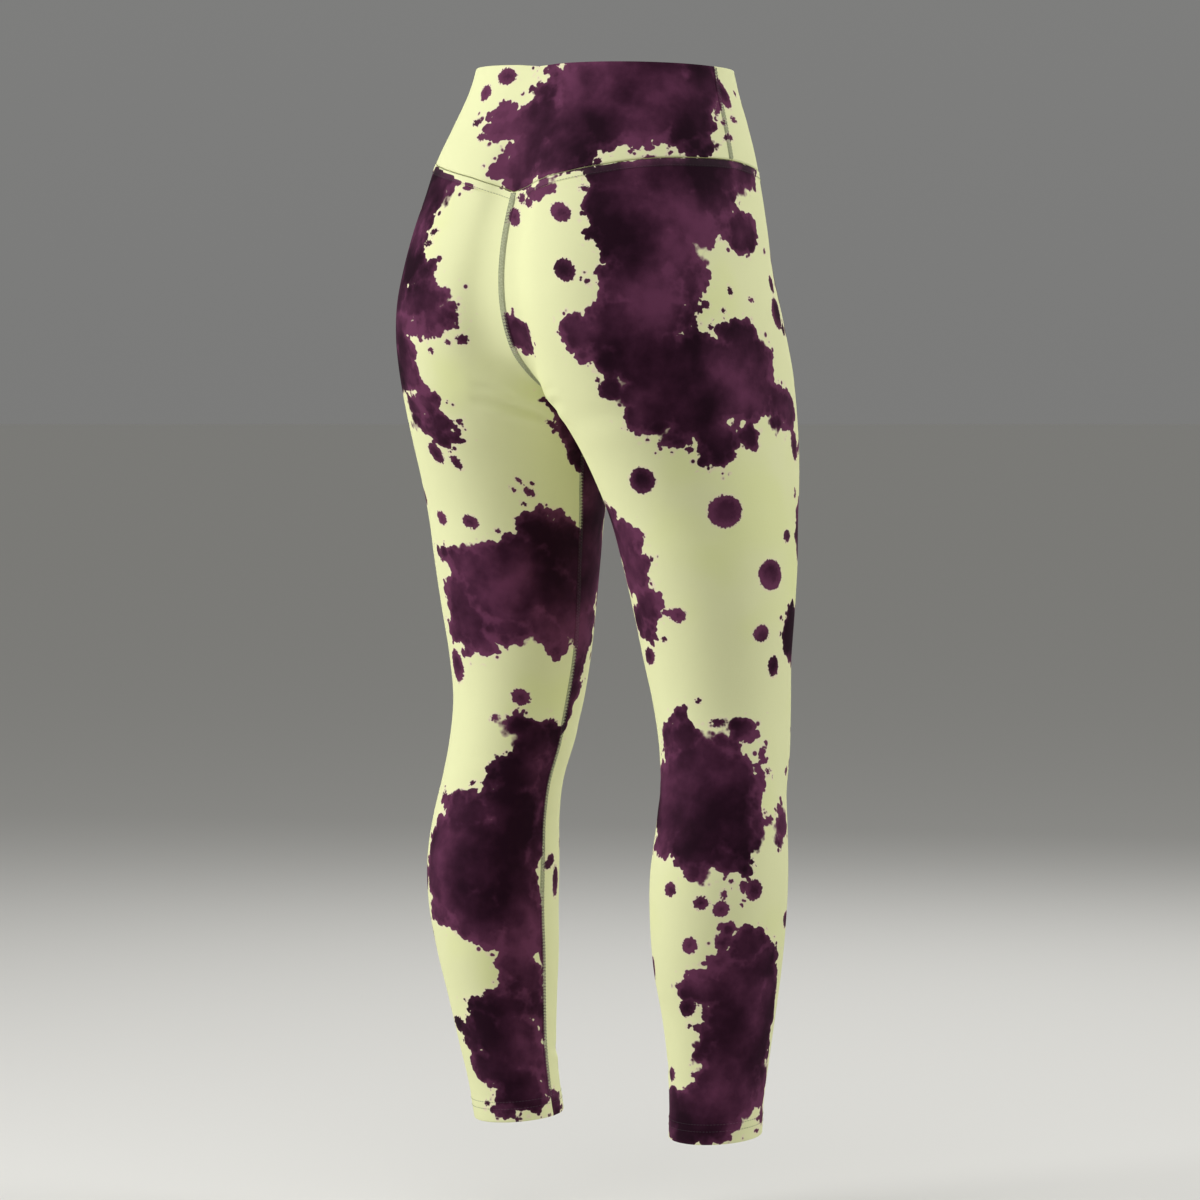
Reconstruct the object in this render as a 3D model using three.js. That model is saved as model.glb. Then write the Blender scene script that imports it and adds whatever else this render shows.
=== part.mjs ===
// Seven-eighths leggings in stretch jersey, filled out as if worn, by nobody.
// A high two-ply waistband with a pointed back, one panel of cloth for each leg, flatlock seams
// down the middle and inside the legs, and hems turned up inside.
// Millimetres. +Z is up, the wearer faces -Y and the wearer's left is +X.
// The origin is the middle of the waistband's top edge.
import * as THREE from "three";

// Cloth and seams
const JERSEY = 1.2; // one ply of the legs
const BAND_PLIES = 2.0; // two plies of the waistband
const HEM_PLIES = 2.4; // leg and turned-up hem together
const HEM_DEPTH = 18; // cloth turned up inside the ankle
const HEM_STEP = 1.5; // height over which the inner face steps to the hem's thickness
const SEAM_GAP = 0.3; // between neighbouring pieces
const TAPE_WIDTH = 6.6; // flatlock stitching, across
const TAPE_HEIGHT = 0.6; // flatlock stitching, above the cloth
const WAIST_TAPE = 7.0; // stitched band under the waistband's lower edge
const RISE_END = 4; // rows before the crotch, where the legs leave no room for raised stitching
const INSEAM_START = 0.35; // of a row below the crotch
const INSEAM_END = 1.4; // rows above the hem's edge, at the hem's own stitches
const VALLEY_LIMIT = 0.35; // steepest valley that the stitching over the middle seam spans

// How finely the walls are divided
const COLUMNS = 24; // around one leg
const INNER_SHARE = { waist: 0.2, leg: 0.47 };
const HIP_ROWS = 12; // from the waist seam to the crotch
const LEG_ROWS = 25; // from the crotch to the hem
const BAND_ROWS = 4;
const BAND_COLUMNS = 12; // in a quarter of the waistband

// Crotch, and the ankle's opening
const CROTCH = { y: 20, z: -291 };
const ANKLE = { x: 112, y: -13, z: -901, riseToFront: 0.11, riseToInside: 0.02, from: 0.7 };
const TURN = 62; // above the crotch the outline's inner end turns from across the body to along it
const ROW_DIP = 0.3; // share of a row that bends down to follow the rise

// Left half of the body at each height: the frontmost, outermost, rearmost and innermost points
// of its outline. Above the crotch the inside is the middle seam, so it has no point of its own.
const HIP = [
  { z: 10, frontX: 18, frontY: -80, sideX: 116, sideY: 2, backX: 20, backY: 86 },
  { z: -20, frontX: 22, frontY: -83, sideX: 124, sideY: 4, backX: 26, backY: 92 },
  { z: -50, frontX: 28, frontY: -87, sideX: 135, sideY: 8, backX: 34, backY: 104 },
  { z: -80, frontX: 32, frontY: -91, sideX: 145, sideY: 12, backX: 40, backY: 119 },
  { z: -110, frontX: 38, frontY: -92, sideX: 152, sideY: 14, backX: 46, backY: 129 },
  { z: -140, frontX: 44, frontY: -91, sideX: 159, sideY: 16, backX: 52, backY: 139 },
  { z: -170, frontX: 50, frontY: -91, sideX: 164, sideY: 17, backX: 58, backY: 147 },
  { z: -200, frontX: 57, frontY: -94, sideX: 170, sideY: 16, backX: 64, backY: 150 },
  { z: -230, frontX: 66, frontY: -98, sideX: 174, sideY: 13, backX: 70, backY: 146 },
  { z: -260, frontX: 76, frontY: -102, sideX: 176, sideY: 9, backX: 77, backY: 136 },
];
const LEG = [
  { z: -291, frontX: 86, frontY: -101, sideX: 177, sideY: 5, backX: 84, backY: 122, inX: 0, inY: 20 },
  { z: -320, frontX: 95, frontY: -97, sideX: 178, sideY: 0, backX: 90, backY: 107, inX: 14, inY: 14 },
  { z: -350, frontX: 103, frontY: -92, sideX: 178, sideY: -4, backX: 95, backY: 92, inX: 23, inY: 6 },
  { z: -380, frontX: 109, frontY: -86, sideX: 178, sideY: -6, backX: 98, backY: 79, inX: 30, inY: -2 },
  { z: -420, frontX: 110, frontY: -84, sideX: 177, sideY: -9, backX: 102, backY: 68, inX: 37, inY: -8 },
  { z: -460, frontX: 110, frontY: -80, sideX: 175, sideY: -12, backX: 106, backY: 57, inX: 42, inY: -12 },
  { z: -500, frontX: 111, frontY: -77, sideX: 171, sideY: -15, backX: 108, backY: 48, inX: 48, inY: -15 },
  { z: -540, frontX: 115, frontY: -76, sideX: 169, sideY: -17, backX: 111, backY: 42, inX: 57, inY: -16 },
  { z: -580, frontX: 120, frontY: -69, sideX: 172, sideY: -13, backX: 117, backY: 42, inX: 65, inY: -13 },
  { z: -610, frontX: 123, frontY: -60, sideX: 175, sideY: -7, backX: 121, backY: 47, inX: 70, inY: -6 },
  { z: -640, frontX: 126, frontY: -57, sideX: 179, sideY: -3, backX: 124, backY: 55, inX: 71, inY: -1 },
  { z: -680, frontX: 126, frontY: -56, sideX: 182, sideY: 1, backX: 124, backY: 62, inX: 69, inY: 3 },
  { z: -720, frontX: 126, frontY: -55, sideX: 180, sideY: 2, backX: 123, backY: 61, inX: 69, inY: 4 },
  { z: -760, frontX: 124, frontY: -54, sideX: 174, sideY: -1, backX: 120, backY: 55, inX: 70, inY: 1 },
  { z: -800, frontX: 121, frontY: -51, sideX: 167, sideY: -4, backX: 119, backY: 44, inX: 73, inY: -3 },
  { z: -840, frontX: 118, frontY: -49, sideX: 159, sideY: -7, backX: 116, backY: 36, inX: 75, inY: -7 },
  { z: -870, frontX: 113, frontY: -49, sideX: 153, sideY: -10, backX: 113, backY: 30, inX: 73, inY: -9 },
  { z: -912, frontX: 108, frontY: -52, sideX: 147, sideY: -14, backX: 108, backY: 25, inX: 69, inY: -14 },
];

// The middle seam in the plane x = 0, from above the waist down to the crotch
const FRONT_RISE = [
  { y: -82, z: 10 }, { y: -86, z: -20 }, { y: -91, z: -50 }, { y: -95, z: -80 }, { y: -96, z: -110 },
  { y: -95, z: -140 }, { y: -92, z: -170 }, { y: -87, z: -200 }, { y: -79, z: -225 }, { y: -66, z: -247 },
  { y: -48, z: -264 }, { y: -26, z: -277 }, { y: -2, z: -287 }, CROTCH,
];
const BACK_RISE = [
  { y: 86, z: 10 }, { y: 92, z: -20 }, { y: 103, z: -50 }, { y: 115, z: -88 }, { y: 120, z: -109 },
  { y: 127, z: -129 }, { y: 133, z: -152 }, { y: 136, z: -176 }, { y: 135, z: -199 }, { y: 130, z: -219 },
  { y: 118, z: -242 }, { y: 100, z: -258 }, { y: 76, z: -273 }, { y: 48, z: -285 }, CROTCH,
];

// Heights of the waistband's top and of the seam under it: around is 0 at the middle of the
// front, 0.5 at the side and 1 at the middle of the back, where the seam comes to a point
const WAIST = [
  { around: 0, top: -9, seam: -98 },
  { around: 0.25, top: -7, seam: -95 },
  { around: 0.42, top: -4.2, seam: -87.5 },
  { around: 0.5, top: -3, seam: -82.5 },
  { around: 0.58, top: -1.6, seam: -81 },
  { around: 0.68, top: -0.4, seam: -82 },
  { around: 0.78, top: 0, seam: -88 },
  { around: 0.88, top: -0.5, seam: -97 },
  { around: 1, top: -2.5, seam: -108.5 },
];

const FINISH = {
  jersey: { color: 0xdbe0ab, roughness: 0.82, metalness: 0 },
  band: { color: 0xd6dba6, roughness: 0.78, metalness: 0 },
  stitching: { color: 0x8f9577, roughness: 0.9, metalness: 0 },
};

// Smooth curve through the values, with each slope taken from both neighbours
function through(keys, values, key) {
  const last = keys.length - 1;
  const slopes = keys.slice(1).map((k, i) => (values[i + 1] - values[i]) / (k - keys[i]));
  const slopeAt = (i) => {
    if (i === 0 || i === last) return slopes[Math.min(i, last - 1)];
    const before = keys[i] - keys[i - 1];
    const after = keys[i + 1] - keys[i];
    return (slopes[i - 1] * after + slopes[i] * before) / (before + after);
  };
  const found = keys.findIndex((k) => k >= key);
  const i = THREE.MathUtils.clamp((found < 0 ? last : found) - 1, 0, last - 1);
  const span = keys[i + 1] - keys[i];
  const t = (key - keys[i]) / span;
  const fromLeft = values[i] + (values[i + 1] - values[i]) * t * t * (3 - 2 * t);
  return fromLeft + span * (t * (1 - t) * ((1 - t) * slopeAt(i) - t * slopeAt(i + 1)));
}

// Reader of one column of a table, by the value of its key column
function reader(rows, key, column) {
  const ordered = [...rows].sort((a, b) => a[key] - b[key]);
  const keys = ordered.map((row) => row[key]);
  const values = ordered.map((row) => row[column]);
  return (at) => through(keys, values, at);
}

const profile = {};
for (const column of ["frontX", "frontY", "sideX", "sideY", "backX", "backY"]) {
  profile[column] = reader([...HIP, ...LEG], "z", column);
}
profile.inX = reader(LEG, "z", "inX");
profile.inY = reader(LEG, "z", "inY");
const waistTop = reader(WAIST, "around", "top");
const waistSeam = reader(WAIST, "around", "seam");

// The middle seam as closely spaced points, evenly along its length
function riseCurve(points) {
  const lengths = [0];
  for (let i = 1; i < points.length; i += 1) {
    const step = Math.hypot(points[i].y - points[i - 1].y, points[i].z - points[i - 1].z);
    lengths.push(lengths[i - 1] + step);
  }
  const count = 400;
  const total = lengths[lengths.length - 1];
  const ys = points.map((point) => point.y);
  const zs = points.map((point) => point.z);
  const dense = [];
  for (let i = 0; i <= count; i += 1) {
    const along = (total * i) / count;
    dense.push({ y: through(lengths, ys, along), z: through(lengths, zs, along) });
  }
  return dense;
}
const frontRise = riseCurve(FRONT_RISE);
const backRise = riseCurve(BACK_RISE);

// Place in the list where the curve reaches a height, as a fraction of an index
function riseIndex(curve, z) {
  const i = curve.findIndex((point) => point.z <= z);
  if (i < 0) return curve.length - 1;
  if (i === 0) return 0;
  return i - 1 + (curve[i - 1].z - z) / (curve[i - 1].z - curve[i].z);
}

function risePoint(curve, index) {
  const i = Math.min(Math.floor(index), curve.length - 2);
  const t = index - i;
  return {
    y: THREE.MathUtils.lerp(curve[i].y, curve[i + 1].y, t),
    z: THREE.MathUtils.lerp(curve[i].z, curve[i + 1].z, t),
  };
}

// Half of the body's outline at one height, in quarters from the front round to the back
const outlines = new Map();
function outline(z) {
  if (outlines.has(z)) return outlines.get(z);
  const level = {};
  for (const column of Object.keys(profile)) level[column] = profile[column](z);
  const hip = z > CROTCH.z;
  const inX = hip ? 0 : level.inX;
  const startY = hip ? risePoint(frontRise, riseIndex(frontRise, z)).y : level.inY;
  const endY = hip ? risePoint(backRise, riseIndex(backRise, z)).y : level.inY;
  const k = 0.5523;
  const turn = 1 - THREE.MathUtils.smoothstep(z, CROTCH.z, CROTCH.z + TURN);
  const valley = k * (1 - turn);
  const at = (x, y) => new THREE.Vector2(x, y);
  const inToFront = level.frontX - inX;
  const inToBack = level.backX - inX;
  const quarters = [
    [
      at(inX, startY),
      at(inX + valley * inToFront, startY + k * turn * (level.frontY - startY)),
      at(level.frontX - k * inToFront, level.frontY),
      at(level.frontX, level.frontY),
    ],
    [
      at(level.frontX, level.frontY),
      at(level.frontX + k * (level.sideX - level.frontX), level.frontY),
      at(level.sideX, level.sideY - k * (level.sideY - level.frontY)),
      at(level.sideX, level.sideY),
    ],
    [
      at(level.sideX, level.sideY),
      at(level.sideX, level.sideY + k * (level.backY - level.sideY)),
      at(level.backX + k * (level.sideX - level.backX), level.backY),
      at(level.backX, level.backY),
    ],
    [
      at(level.backX, level.backY),
      at(level.backX - k * inToBack, level.backY),
      at(inX + valley * inToBack, endY + k * turn * (level.backY - endY)),
      at(inX, endY),
    ],
  ];
  const curves = quarters.map((points) => new THREE.CubicBezierCurve(...points));
  for (const curve of curves) curve.arcLengthDivisions = 60;
  outlines.set(z, curves);
  return curves;
}

// Share of a quarter turn's columns that lie between the middle and the frontmost or rearmost point
function innerShare(z) {
  const down = THREE.MathUtils.smoothstep(-z, 0, -CROTCH.z);
  return THREE.MathUtils.lerp(INNER_SHARE.waist, INNER_SHARE.leg, down);
}

// Point of the outer face: around is 0 at the front edge of the panel, 1 at its back edge
function skin(around, z) {
  const quarters = outline(z);
  const share = innerShare(z);
  const fromMiddle = 2 * Math.min(around, 1 - around);
  const behind = around > 0.5;
  const inner = fromMiddle < share;
  const quarter = behind ? (inner ? 3 : 2) : (inner ? 0 : 1);
  const t = inner ? fromMiddle / share : (fromMiddle - share) / (1 - share);
  const flat = quarters[quarter].getPointAt(behind ? 1 - t : t);
  return new THREE.Vector3(flat.x, flat.y, z);
}

// How far round the panel a length beside its front edge or its back edge reaches
function beside(length, z, behind) {
  const share = (length / outline(z)[behind ? 3 : 0].getLength()) * innerShare(z) * 0.5;
  return behind ? 1 - share : share;
}

// Outward direction of the cloth, from its slopes around and down the body
function outward(around, z) {
  const stepAround = 0.006;
  const stepDown = 1.5;
  const from = Math.max(around - stepAround, 0);
  const to = Math.min(around + stepAround, 1);
  const across = skin(to, z).sub(skin(from, z));
  const down = skin(around, z - stepDown).sub(skin(around, z + stepDown));
  return down.cross(across).normalize();
}

// Height of a panel point: rows dip at the panel's edges, where they follow the rise
function hipHeight(around, down) {
  const level = THREE.MathUtils.lerp(waistSeam(around), CROTCH.z, down);
  const rise = around < 0.5 ? frontRise : backRise;
  const top = riseIndex(rise, waistSeam(around < 0.5 ? 0 : 1));
  const seam = risePoint(rise, THREE.MathUtils.lerp(top, rise.length - 1, down));
  const fromEdge = Math.min(around, 1 - around);
  const dip = 1 - THREE.MathUtils.smoothstep(fromEdge, 0, ROW_DIP);
  return level + (seam.z - level) * dip;
}

// Height of a leg point: the lowest rows tilt to lie square to the ankle
function legHeight(around, down) {
  const level = THREE.MathUtils.lerp(CROTCH.z, ANKLE.z, down);
  const tilt = THREE.MathUtils.smoothstep(down, ANKLE.from, 1);
  if (tilt === 0) return level;
  const place = skin(around, level);
  const rise = (ANKLE.y - place.y) * ANKLE.riseToFront + (ANKLE.x - place.x) * ANKLE.riseToInside;
  return level + rise * tilt;
}

// A point of a wall: its outer face, and its inner face a thickness further in
function wallPoint(outer, normal, thickness) {
  return { outer, normal, inner: outer.clone().addScaledVector(normal, -thickness) };
}

// Closed body between an outer and an inner grid of points, rows down and columns around
function wallGeometry(grid, ring = false) {
  const rows = grid.length;
  const columns = grid[0].length;
  const positions = [];
  const triangles = [];
  for (const side of ["outer", "inner"]) {
    for (const row of grid) {
      for (const point of row) positions.push(...point[side].toArray());
    }
  }
  const inside = rows * columns;
  const index = (row, column) => row * columns + (column % columns);
  const vertex = (i) => new THREE.Vector3().fromArray(positions, 3 * i);
  const apart = (i, j) => vertex(i).distanceTo(vertex(j));
  const quad = (a, b, c, d) => {
    if (apart(a, c) <= apart(b, d)) triangles.push(a, b, c, a, c, d);
    else triangles.push(b, c, d, b, d, a);
  };
  const spans = ring ? columns : columns - 1;
  for (let row = 0; row < rows - 1; row += 1) {
    for (let column = 0; column < spans; column += 1) {
      const a = index(row, column);
      const b = index(row, column + 1);
      const c = index(row + 1, column + 1);
      const d = index(row + 1, column);
      quad(a, d, c, b);
      quad(inside + a, inside + b, inside + c, inside + d);
    }
  }
  for (let column = 0; column < spans; column += 1) {
    const a = index(0, column);
    const b = index(0, column + 1);
    const c = index(rows - 1, column);
    const d = index(rows - 1, column + 1);
    quad(a, b, inside + b, inside + a);
    quad(d, c, inside + c, inside + d);
  }
  for (let row = 0; !ring && row < rows - 1; row += 1) {
    const a = index(row, 0);
    const b = index(row + 1, 0);
    const c = index(row, columns - 1);
    const d = index(row + 1, columns - 1);
    quad(b, a, inside + a, inside + b);
    quad(c, d, inside + d, inside + c);
  }
  const geometry = new THREE.BufferGeometry();
  geometry.setAttribute("position", new THREE.Float32BufferAttribute(positions, 3));
  geometry.setIndex(triangles);
  return geometry;
}

// The same points on the other side of the body, with the columns turned round
function mirrored(grid) {
  const across = new THREE.Vector3(-1, 1, 1);
  const flip = (point) => ({
    outer: point.outer.clone().multiply(across),
    inner: point.inner.clone().multiply(across),
    normal: point.normal.clone().multiply(across),
  });
  return grid.map((row) => row.map(flip).reverse());
}

function piece(name, geometry, finish) {
  geometry.computeVertexNormals();
  const mesh = new THREE.Mesh(geometry, new THREE.MeshStandardMaterial(finish));
  mesh.name = name;
  return mesh;
}

// Rows of a leg panel, as heights for a place around it and the wall's thickness there
function panelRows() {
  const rows = [];
  for (let i = 0; i <= HIP_ROWS; i += 1) {
    const down = i / HIP_ROWS;
    rows.push({ height: (around) => hipHeight(around, down), thickness: JERSEY, hip: down < 1, down });
  }
  const legLength = CROTCH.z - ANKLE.z;
  const hemTop = 1 - HEM_DEPTH / legLength;
  const stepTop = hemTop - HEM_STEP / legLength;
  for (let i = 1; i <= LEG_ROWS; i += 1) {
    const down = (stepTop * i) / LEG_ROWS;
    rows.push({ height: (around) => legHeight(around, down), thickness: JERSEY });
  }
  for (const down of [hemTop, (1 + hemTop) / 2, 1]) {
    rows.push({ height: (around) => legHeight(around, down), thickness: HEM_PLIES });
  }
  return rows;
}

// The panel's two edges stand half a seam gap back from the seam, and their walls run straight in
function panelPoint(around, row) {
  const isEdge = around === 0 || around === 1;
  const z = row.height(around) - (row.down === 0 ? SEAM_GAP / 2 : 0);
  const outer = skin(around, z);
  const normal = outward(around, z);
  if (!isEdge) return wallPoint(outer, normal, row.thickness);
  const apart = around === 0 ? -SEAM_GAP / 2 : SEAM_GAP / 2;
  if (row.hip) {
    outer.x = SEAM_GAP / 2;
    normal.x = 0;
  } else if (row.down === 1) {
    outer.set(SEAM_GAP / 2, CROTCH.y + apart, CROTCH.z);
    normal.set(0, 0, -1);
  } else {
    outer.y += apart;
    normal.y = 0;
  }
  return wallPoint(outer, normal.normalize(), row.thickness);
}

// Places of a row's columns: even, with one more beside each edge where the stitching ends
function panelColumns(row) {
  const front = beside(TAPE_WIDTH / 2, row.height(0), false);
  const back = beside(TAPE_WIDTH / 2, row.height(1), true);
  const even = Array.from({ length: COLUMNS - 1 }, (_, i) => (i + 1) / COLUMNS);
  return [0, front, ...even, back, 1];
}

function legGrid() {
  return panelRows().map((row) => panelColumns(row).map((around) => panelPoint(around, row)));
}

// Half of a waistband piece: from the side seam to the middle, at the front or at the back
function bandHalf(middle) {
  const grid = [];
  const sideGap = middle === 0 ? -SEAM_GAP / 2 : SEAM_GAP / 2;
  for (let j = 0; j <= BAND_ROWS; j += 1) {
    const row = [];
    for (let i = 0; i <= BAND_COLUMNS; i += 1) {
      const around = THREE.MathUtils.lerp(0.5, middle, i / BAND_COLUMNS);
      const bottom = waistSeam(around) + SEAM_GAP / 2;
      const z = THREE.MathUtils.lerp(waistTop(around), bottom, j / BAND_ROWS);
      const outer = skin(around, z);
      const normal = outward(around, z);
      if (i === 0) {
        outer.y += sideGap;
        normal.y = 0;
      }
      if (i === BAND_COLUMNS) {
        outer.x = 0;
        normal.x = 0;
      }
      row.push(wallPoint(outer, normal.normalize(), BAND_PLIES));
    }
    grid.push(row);
  }
  return grid;
}

// The whole waistband piece, out of a half on the wearer's left and its mirror image
function bandGrid(middle) {
  const left = bandHalf(middle);
  const right = mirrored(left);
  if (middle === 1) return left.map((row, j) => [...row, ...right[j].slice(1)]);
  return left.map((row, j) => [...right[j].toReversed().slice(0, -1), ...row.toReversed()]);
}

// A point of stitching, which lies on the cloth: its underside just clears the cloth
function tapePoint(base, normal, spread = 1) {
  return {
    normal,
    outer: base.clone().addScaledVector(normal, (SEAM_GAP + TAPE_HEIGHT) * spread),
    inner: base.clone().addScaledVector(normal, SEAM_GAP * spread),
  };
}

// Place and outward direction on a panel, between two of its rows
function between(grid, row, column) {
  const i = Math.min(Math.floor(row), grid.length - 2);
  const above = grid[i].at(column);
  const below = grid[i + 1].at(column);
  return {
    base: above.outer.clone().lerp(below.outer, row - i),
    normal: above.normal.clone().lerp(below.normal, row - i).normalize(),
  };
}

// Row positions of a strip of stitching that starts and ends between a panel's rows
function stripRows(start, end) {
  const rows = [start];
  for (let row = Math.floor(start) + 1; row < end; row += 1) rows.push(row);
  return [...rows, end];
}

// Stitching over the middle seam, from the waist to the crotch, in front or behind
function riseTape(grid, behind) {
  const edge = behind ? -1 : 0;
  const next = behind ? -2 : 1;
  const rise = behind ? backRise : frontRise;
  const around = behind ? 1 : 0;
  const top = riseIndex(rise, waistSeam(around));
  const start = riseIndex(rise, waistSeam(around) - WAIST_TAPE - 2 * SEAM_GAP);
  const first = (HIP_ROWS * (start - top)) / (rise.length - 1 - top);
  return stripRows(first, HIP_ROWS - RISE_END).map((row) => {
    const seam = between(grid, row, edge);
    const side = between(grid, row, next);
    seam.base.x = 0;
    const left = tapePoint(side.base, side.normal);
    const [right] = mirrored([[left]])[0];
    const valley = 1 / Math.max(side.normal.dot(seam.normal), VALLEY_LIMIT);
    const middle = tapePoint(seam.base, seam.normal, valley);
    return behind ? [left, middle, right] : [right, middle, left];
  });
}

// Stitching over one inside leg seam, from under the crotch to the hem's stitches
function inseamTape(grid) {
  const last = grid.length - 1;
  return stripRows(HIP_ROWS + INSEAM_START, last - INSEAM_END).map((row) => {
    const front = between(grid, row, 0);
    const back = between(grid, row, -1);
    const middle = front.base.lerp(back.base, 0.5);
    const beforeSeam = between(grid, row, -2);
    const afterSeam = between(grid, row, 1);
    return [
      tapePoint(beforeSeam.base, beforeSeam.normal),
      tapePoint(middle, front.normal.add(back.normal).normalize()),
      tapePoint(afterSeam.base, afterSeam.normal),
    ];
  });
}

// Stitching over a side seam of the waistband
function sideTape() {
  const grid = [];
  const margin = 1.5;
  for (let j = 0; j <= BAND_ROWS; j += 1) {
    const top = waistTop(0.5) - margin;
    const z = THREE.MathUtils.lerp(top, waistSeam(0.5) + margin, j / BAND_ROWS);
    const quarters = outline(z);
    const share = (TAPE_WIDTH / 4) * (1 - innerShare(z));
    const front = 0.5 - share / quarters[1].getLength();
    const back = 0.5 + share / quarters[2].getLength();
    grid.push([front, 0.5, back].map((around) => tapePoint(skin(around, z), outward(around, z))));
  }
  return grid;
}

// Ring of stitching on the legs, right under the waistband
function waistTape() {
  return [SEAM_GAP, WAIST_TAPE].map((drop) => {
    const row = { height: (around) => waistSeam(around) - drop };
    const left = panelColumns(row).map((around) => {
      const z = row.height(around);
      const normal = outward(around, z);
      if (around === 0 || around === 1) normal.setX(0).normalize();
      return tapePoint(skin(around, z), normal);
    });
    const right = mirrored([left])[0].slice(1, -1);
    return [...left, ...right];
  });
}

const leggings = new THREE.Group();
const leg = legGrid();
const inseam = inseamTape(leg);
const side = sideTape();
leggings.add(
  piece("waistband_front", wallGeometry(bandGrid(0)), FINISH.band),
  piece("waistband_back", wallGeometry(bandGrid(1)), FINISH.band),
  piece("leg_left", wallGeometry(leg), FINISH.jersey),
  piece("leg_right", wallGeometry(mirrored(leg)), FINISH.jersey),
  piece("waist_seam", wallGeometry(waistTape(), true), FINISH.stitching),
  piece("rise_seam_front", wallGeometry(riseTape(leg, false)), FINISH.stitching),
  piece("rise_seam_back", wallGeometry(riseTape(leg, true)), FINISH.stitching),
  piece("inseam_left", wallGeometry(inseam), FINISH.stitching),
  piece("inseam_right", wallGeometry(mirrored(inseam)), FINISH.stitching),
  piece("side_seam_left", wallGeometry(side), FINISH.stitching),
  piece("side_seam_right", wallGeometry(mirrored(side)), FINISH.stitching),
);

export default leggings;
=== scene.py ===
"""Seven-eighths leggings in pale stretch jersey with an ink-blot print, filled out as if worn.

A high waistband of two plies with a pointed back, one panel of cloth for each leg, flatlock
seams down the middle and inside the legs, and hems turned up inside. Each operator makes one
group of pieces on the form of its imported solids. Metres, with tables in millimetres (MM).
+Z is up, the wearer faces -Y and the wearer's left is +X.
"""
import math
from collections import namedtuple
from functools import lru_cache, partial

import bmesh
import bpy
import numpy as np
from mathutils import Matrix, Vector
from mathutils.kdtree import KDTree


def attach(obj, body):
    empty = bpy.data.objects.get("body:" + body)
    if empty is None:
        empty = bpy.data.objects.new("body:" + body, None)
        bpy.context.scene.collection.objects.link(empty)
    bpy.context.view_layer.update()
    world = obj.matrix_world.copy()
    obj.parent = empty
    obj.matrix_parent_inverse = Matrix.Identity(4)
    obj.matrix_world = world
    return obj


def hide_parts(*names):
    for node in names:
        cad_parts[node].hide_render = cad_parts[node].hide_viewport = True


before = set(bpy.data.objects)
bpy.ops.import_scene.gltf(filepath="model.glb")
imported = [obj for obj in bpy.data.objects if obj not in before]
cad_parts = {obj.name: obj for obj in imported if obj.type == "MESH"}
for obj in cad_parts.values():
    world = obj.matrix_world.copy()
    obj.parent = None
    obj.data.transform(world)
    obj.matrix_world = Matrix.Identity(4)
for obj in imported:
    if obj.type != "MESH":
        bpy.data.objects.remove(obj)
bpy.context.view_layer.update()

bl_info = {
    "name": "Ink Blot Leggings",
    "version": (1, 0, 0),
    "blender": (4, 5, 0),
    "location": "View3D > Sidebar > Leggings",
    "description": "Makes a pair of seven-eighths leggings in jersey with an ink-blot print",
    "category": "Object",
}

MM = 0.001
SEAM_GAP = 0.3 * MM

# The form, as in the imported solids

Level = namedtuple("Level", "z front_x front_y side_x side_y back_x back_y in_x in_y")
HIP = [Level(*row) for row in (
    (10, 18, -80, 116, 2, 20, 86, 0, 0),
    (-20, 22, -83, 124, 4, 26, 92, 0, 0),
    (-50, 28, -87, 135, 8, 34, 104, 0, 0),
    (-80, 32, -91, 145, 12, 40, 119, 0, 0),
    (-110, 38, -92, 152, 14, 46, 129, 0, 0),
    (-140, 44, -91, 159, 16, 52, 139, 0, 0),
    (-170, 50, -91, 164, 17, 58, 147, 0, 0),
    (-200, 57, -94, 170, 16, 64, 150, 0, 0),
    (-230, 66, -98, 174, 13, 70, 146, 0, 0),
    (-260, 76, -102, 176, 9, 77, 136, 0, 0),
)]
LEG = [Level(*row) for row in (
    (-291, 86, -101, 177, 5, 84, 122, 0, 20),
    (-320, 95, -97, 178, 0, 90, 107, 14, 14),
    (-350, 103, -92, 178, -4, 95, 92, 23, 6),
    (-380, 109, -86, 178, -6, 98, 79, 30, -2),
    (-420, 110, -84, 177, -9, 102, 68, 37, -8),
    (-460, 110, -80, 175, -12, 106, 57, 42, -12),
    (-500, 111, -77, 171, -15, 108, 48, 48, -15),
    (-540, 115, -76, 169, -17, 111, 42, 57, -16),
    (-580, 120, -69, 172, -13, 117, 42, 65, -13),
    (-610, 123, -60, 175, -7, 121, 47, 70, -6),
    (-640, 126, -57, 179, -3, 124, 55, 71, -1),
    (-680, 126, -56, 182, 1, 124, 62, 69, 3),
    (-720, 126, -55, 180, 2, 123, 61, 69, 4),
    (-760, 124, -54, 174, -1, 120, 55, 70, 1),
    (-800, 121, -51, 167, -4, 119, 44, 73, -3),
    (-840, 118, -49, 159, -7, 116, 36, 75, -7),
    (-870, 113, -49, 153, -10, 113, 30, 73, -9),
    (-912, 108, -52, 147, -14, 108, 25, 69, -14),
)]

# The middle seam in the plane x = 0, down to the crotch: y and z
CROTCH = (20, -291)
FRONT_RISE = [
    (-82, 10), (-86, -20), (-91, -50), (-95, -80), (-96, -110), (-95, -140), (-92, -170),
    (-87, -200), (-79, -225), (-66, -247), (-48, -264), (-26, -277), (-2, -287), CROTCH,
]
BACK_RISE = [
    (86, 10), (92, -20), (103, -50), (115, -88), (120, -109), (127, -129), (133, -152),
    (136, -176), (135, -199), (130, -219), (118, -242), (100, -258), (76, -273), (48, -285),
    CROTCH,
]

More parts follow.
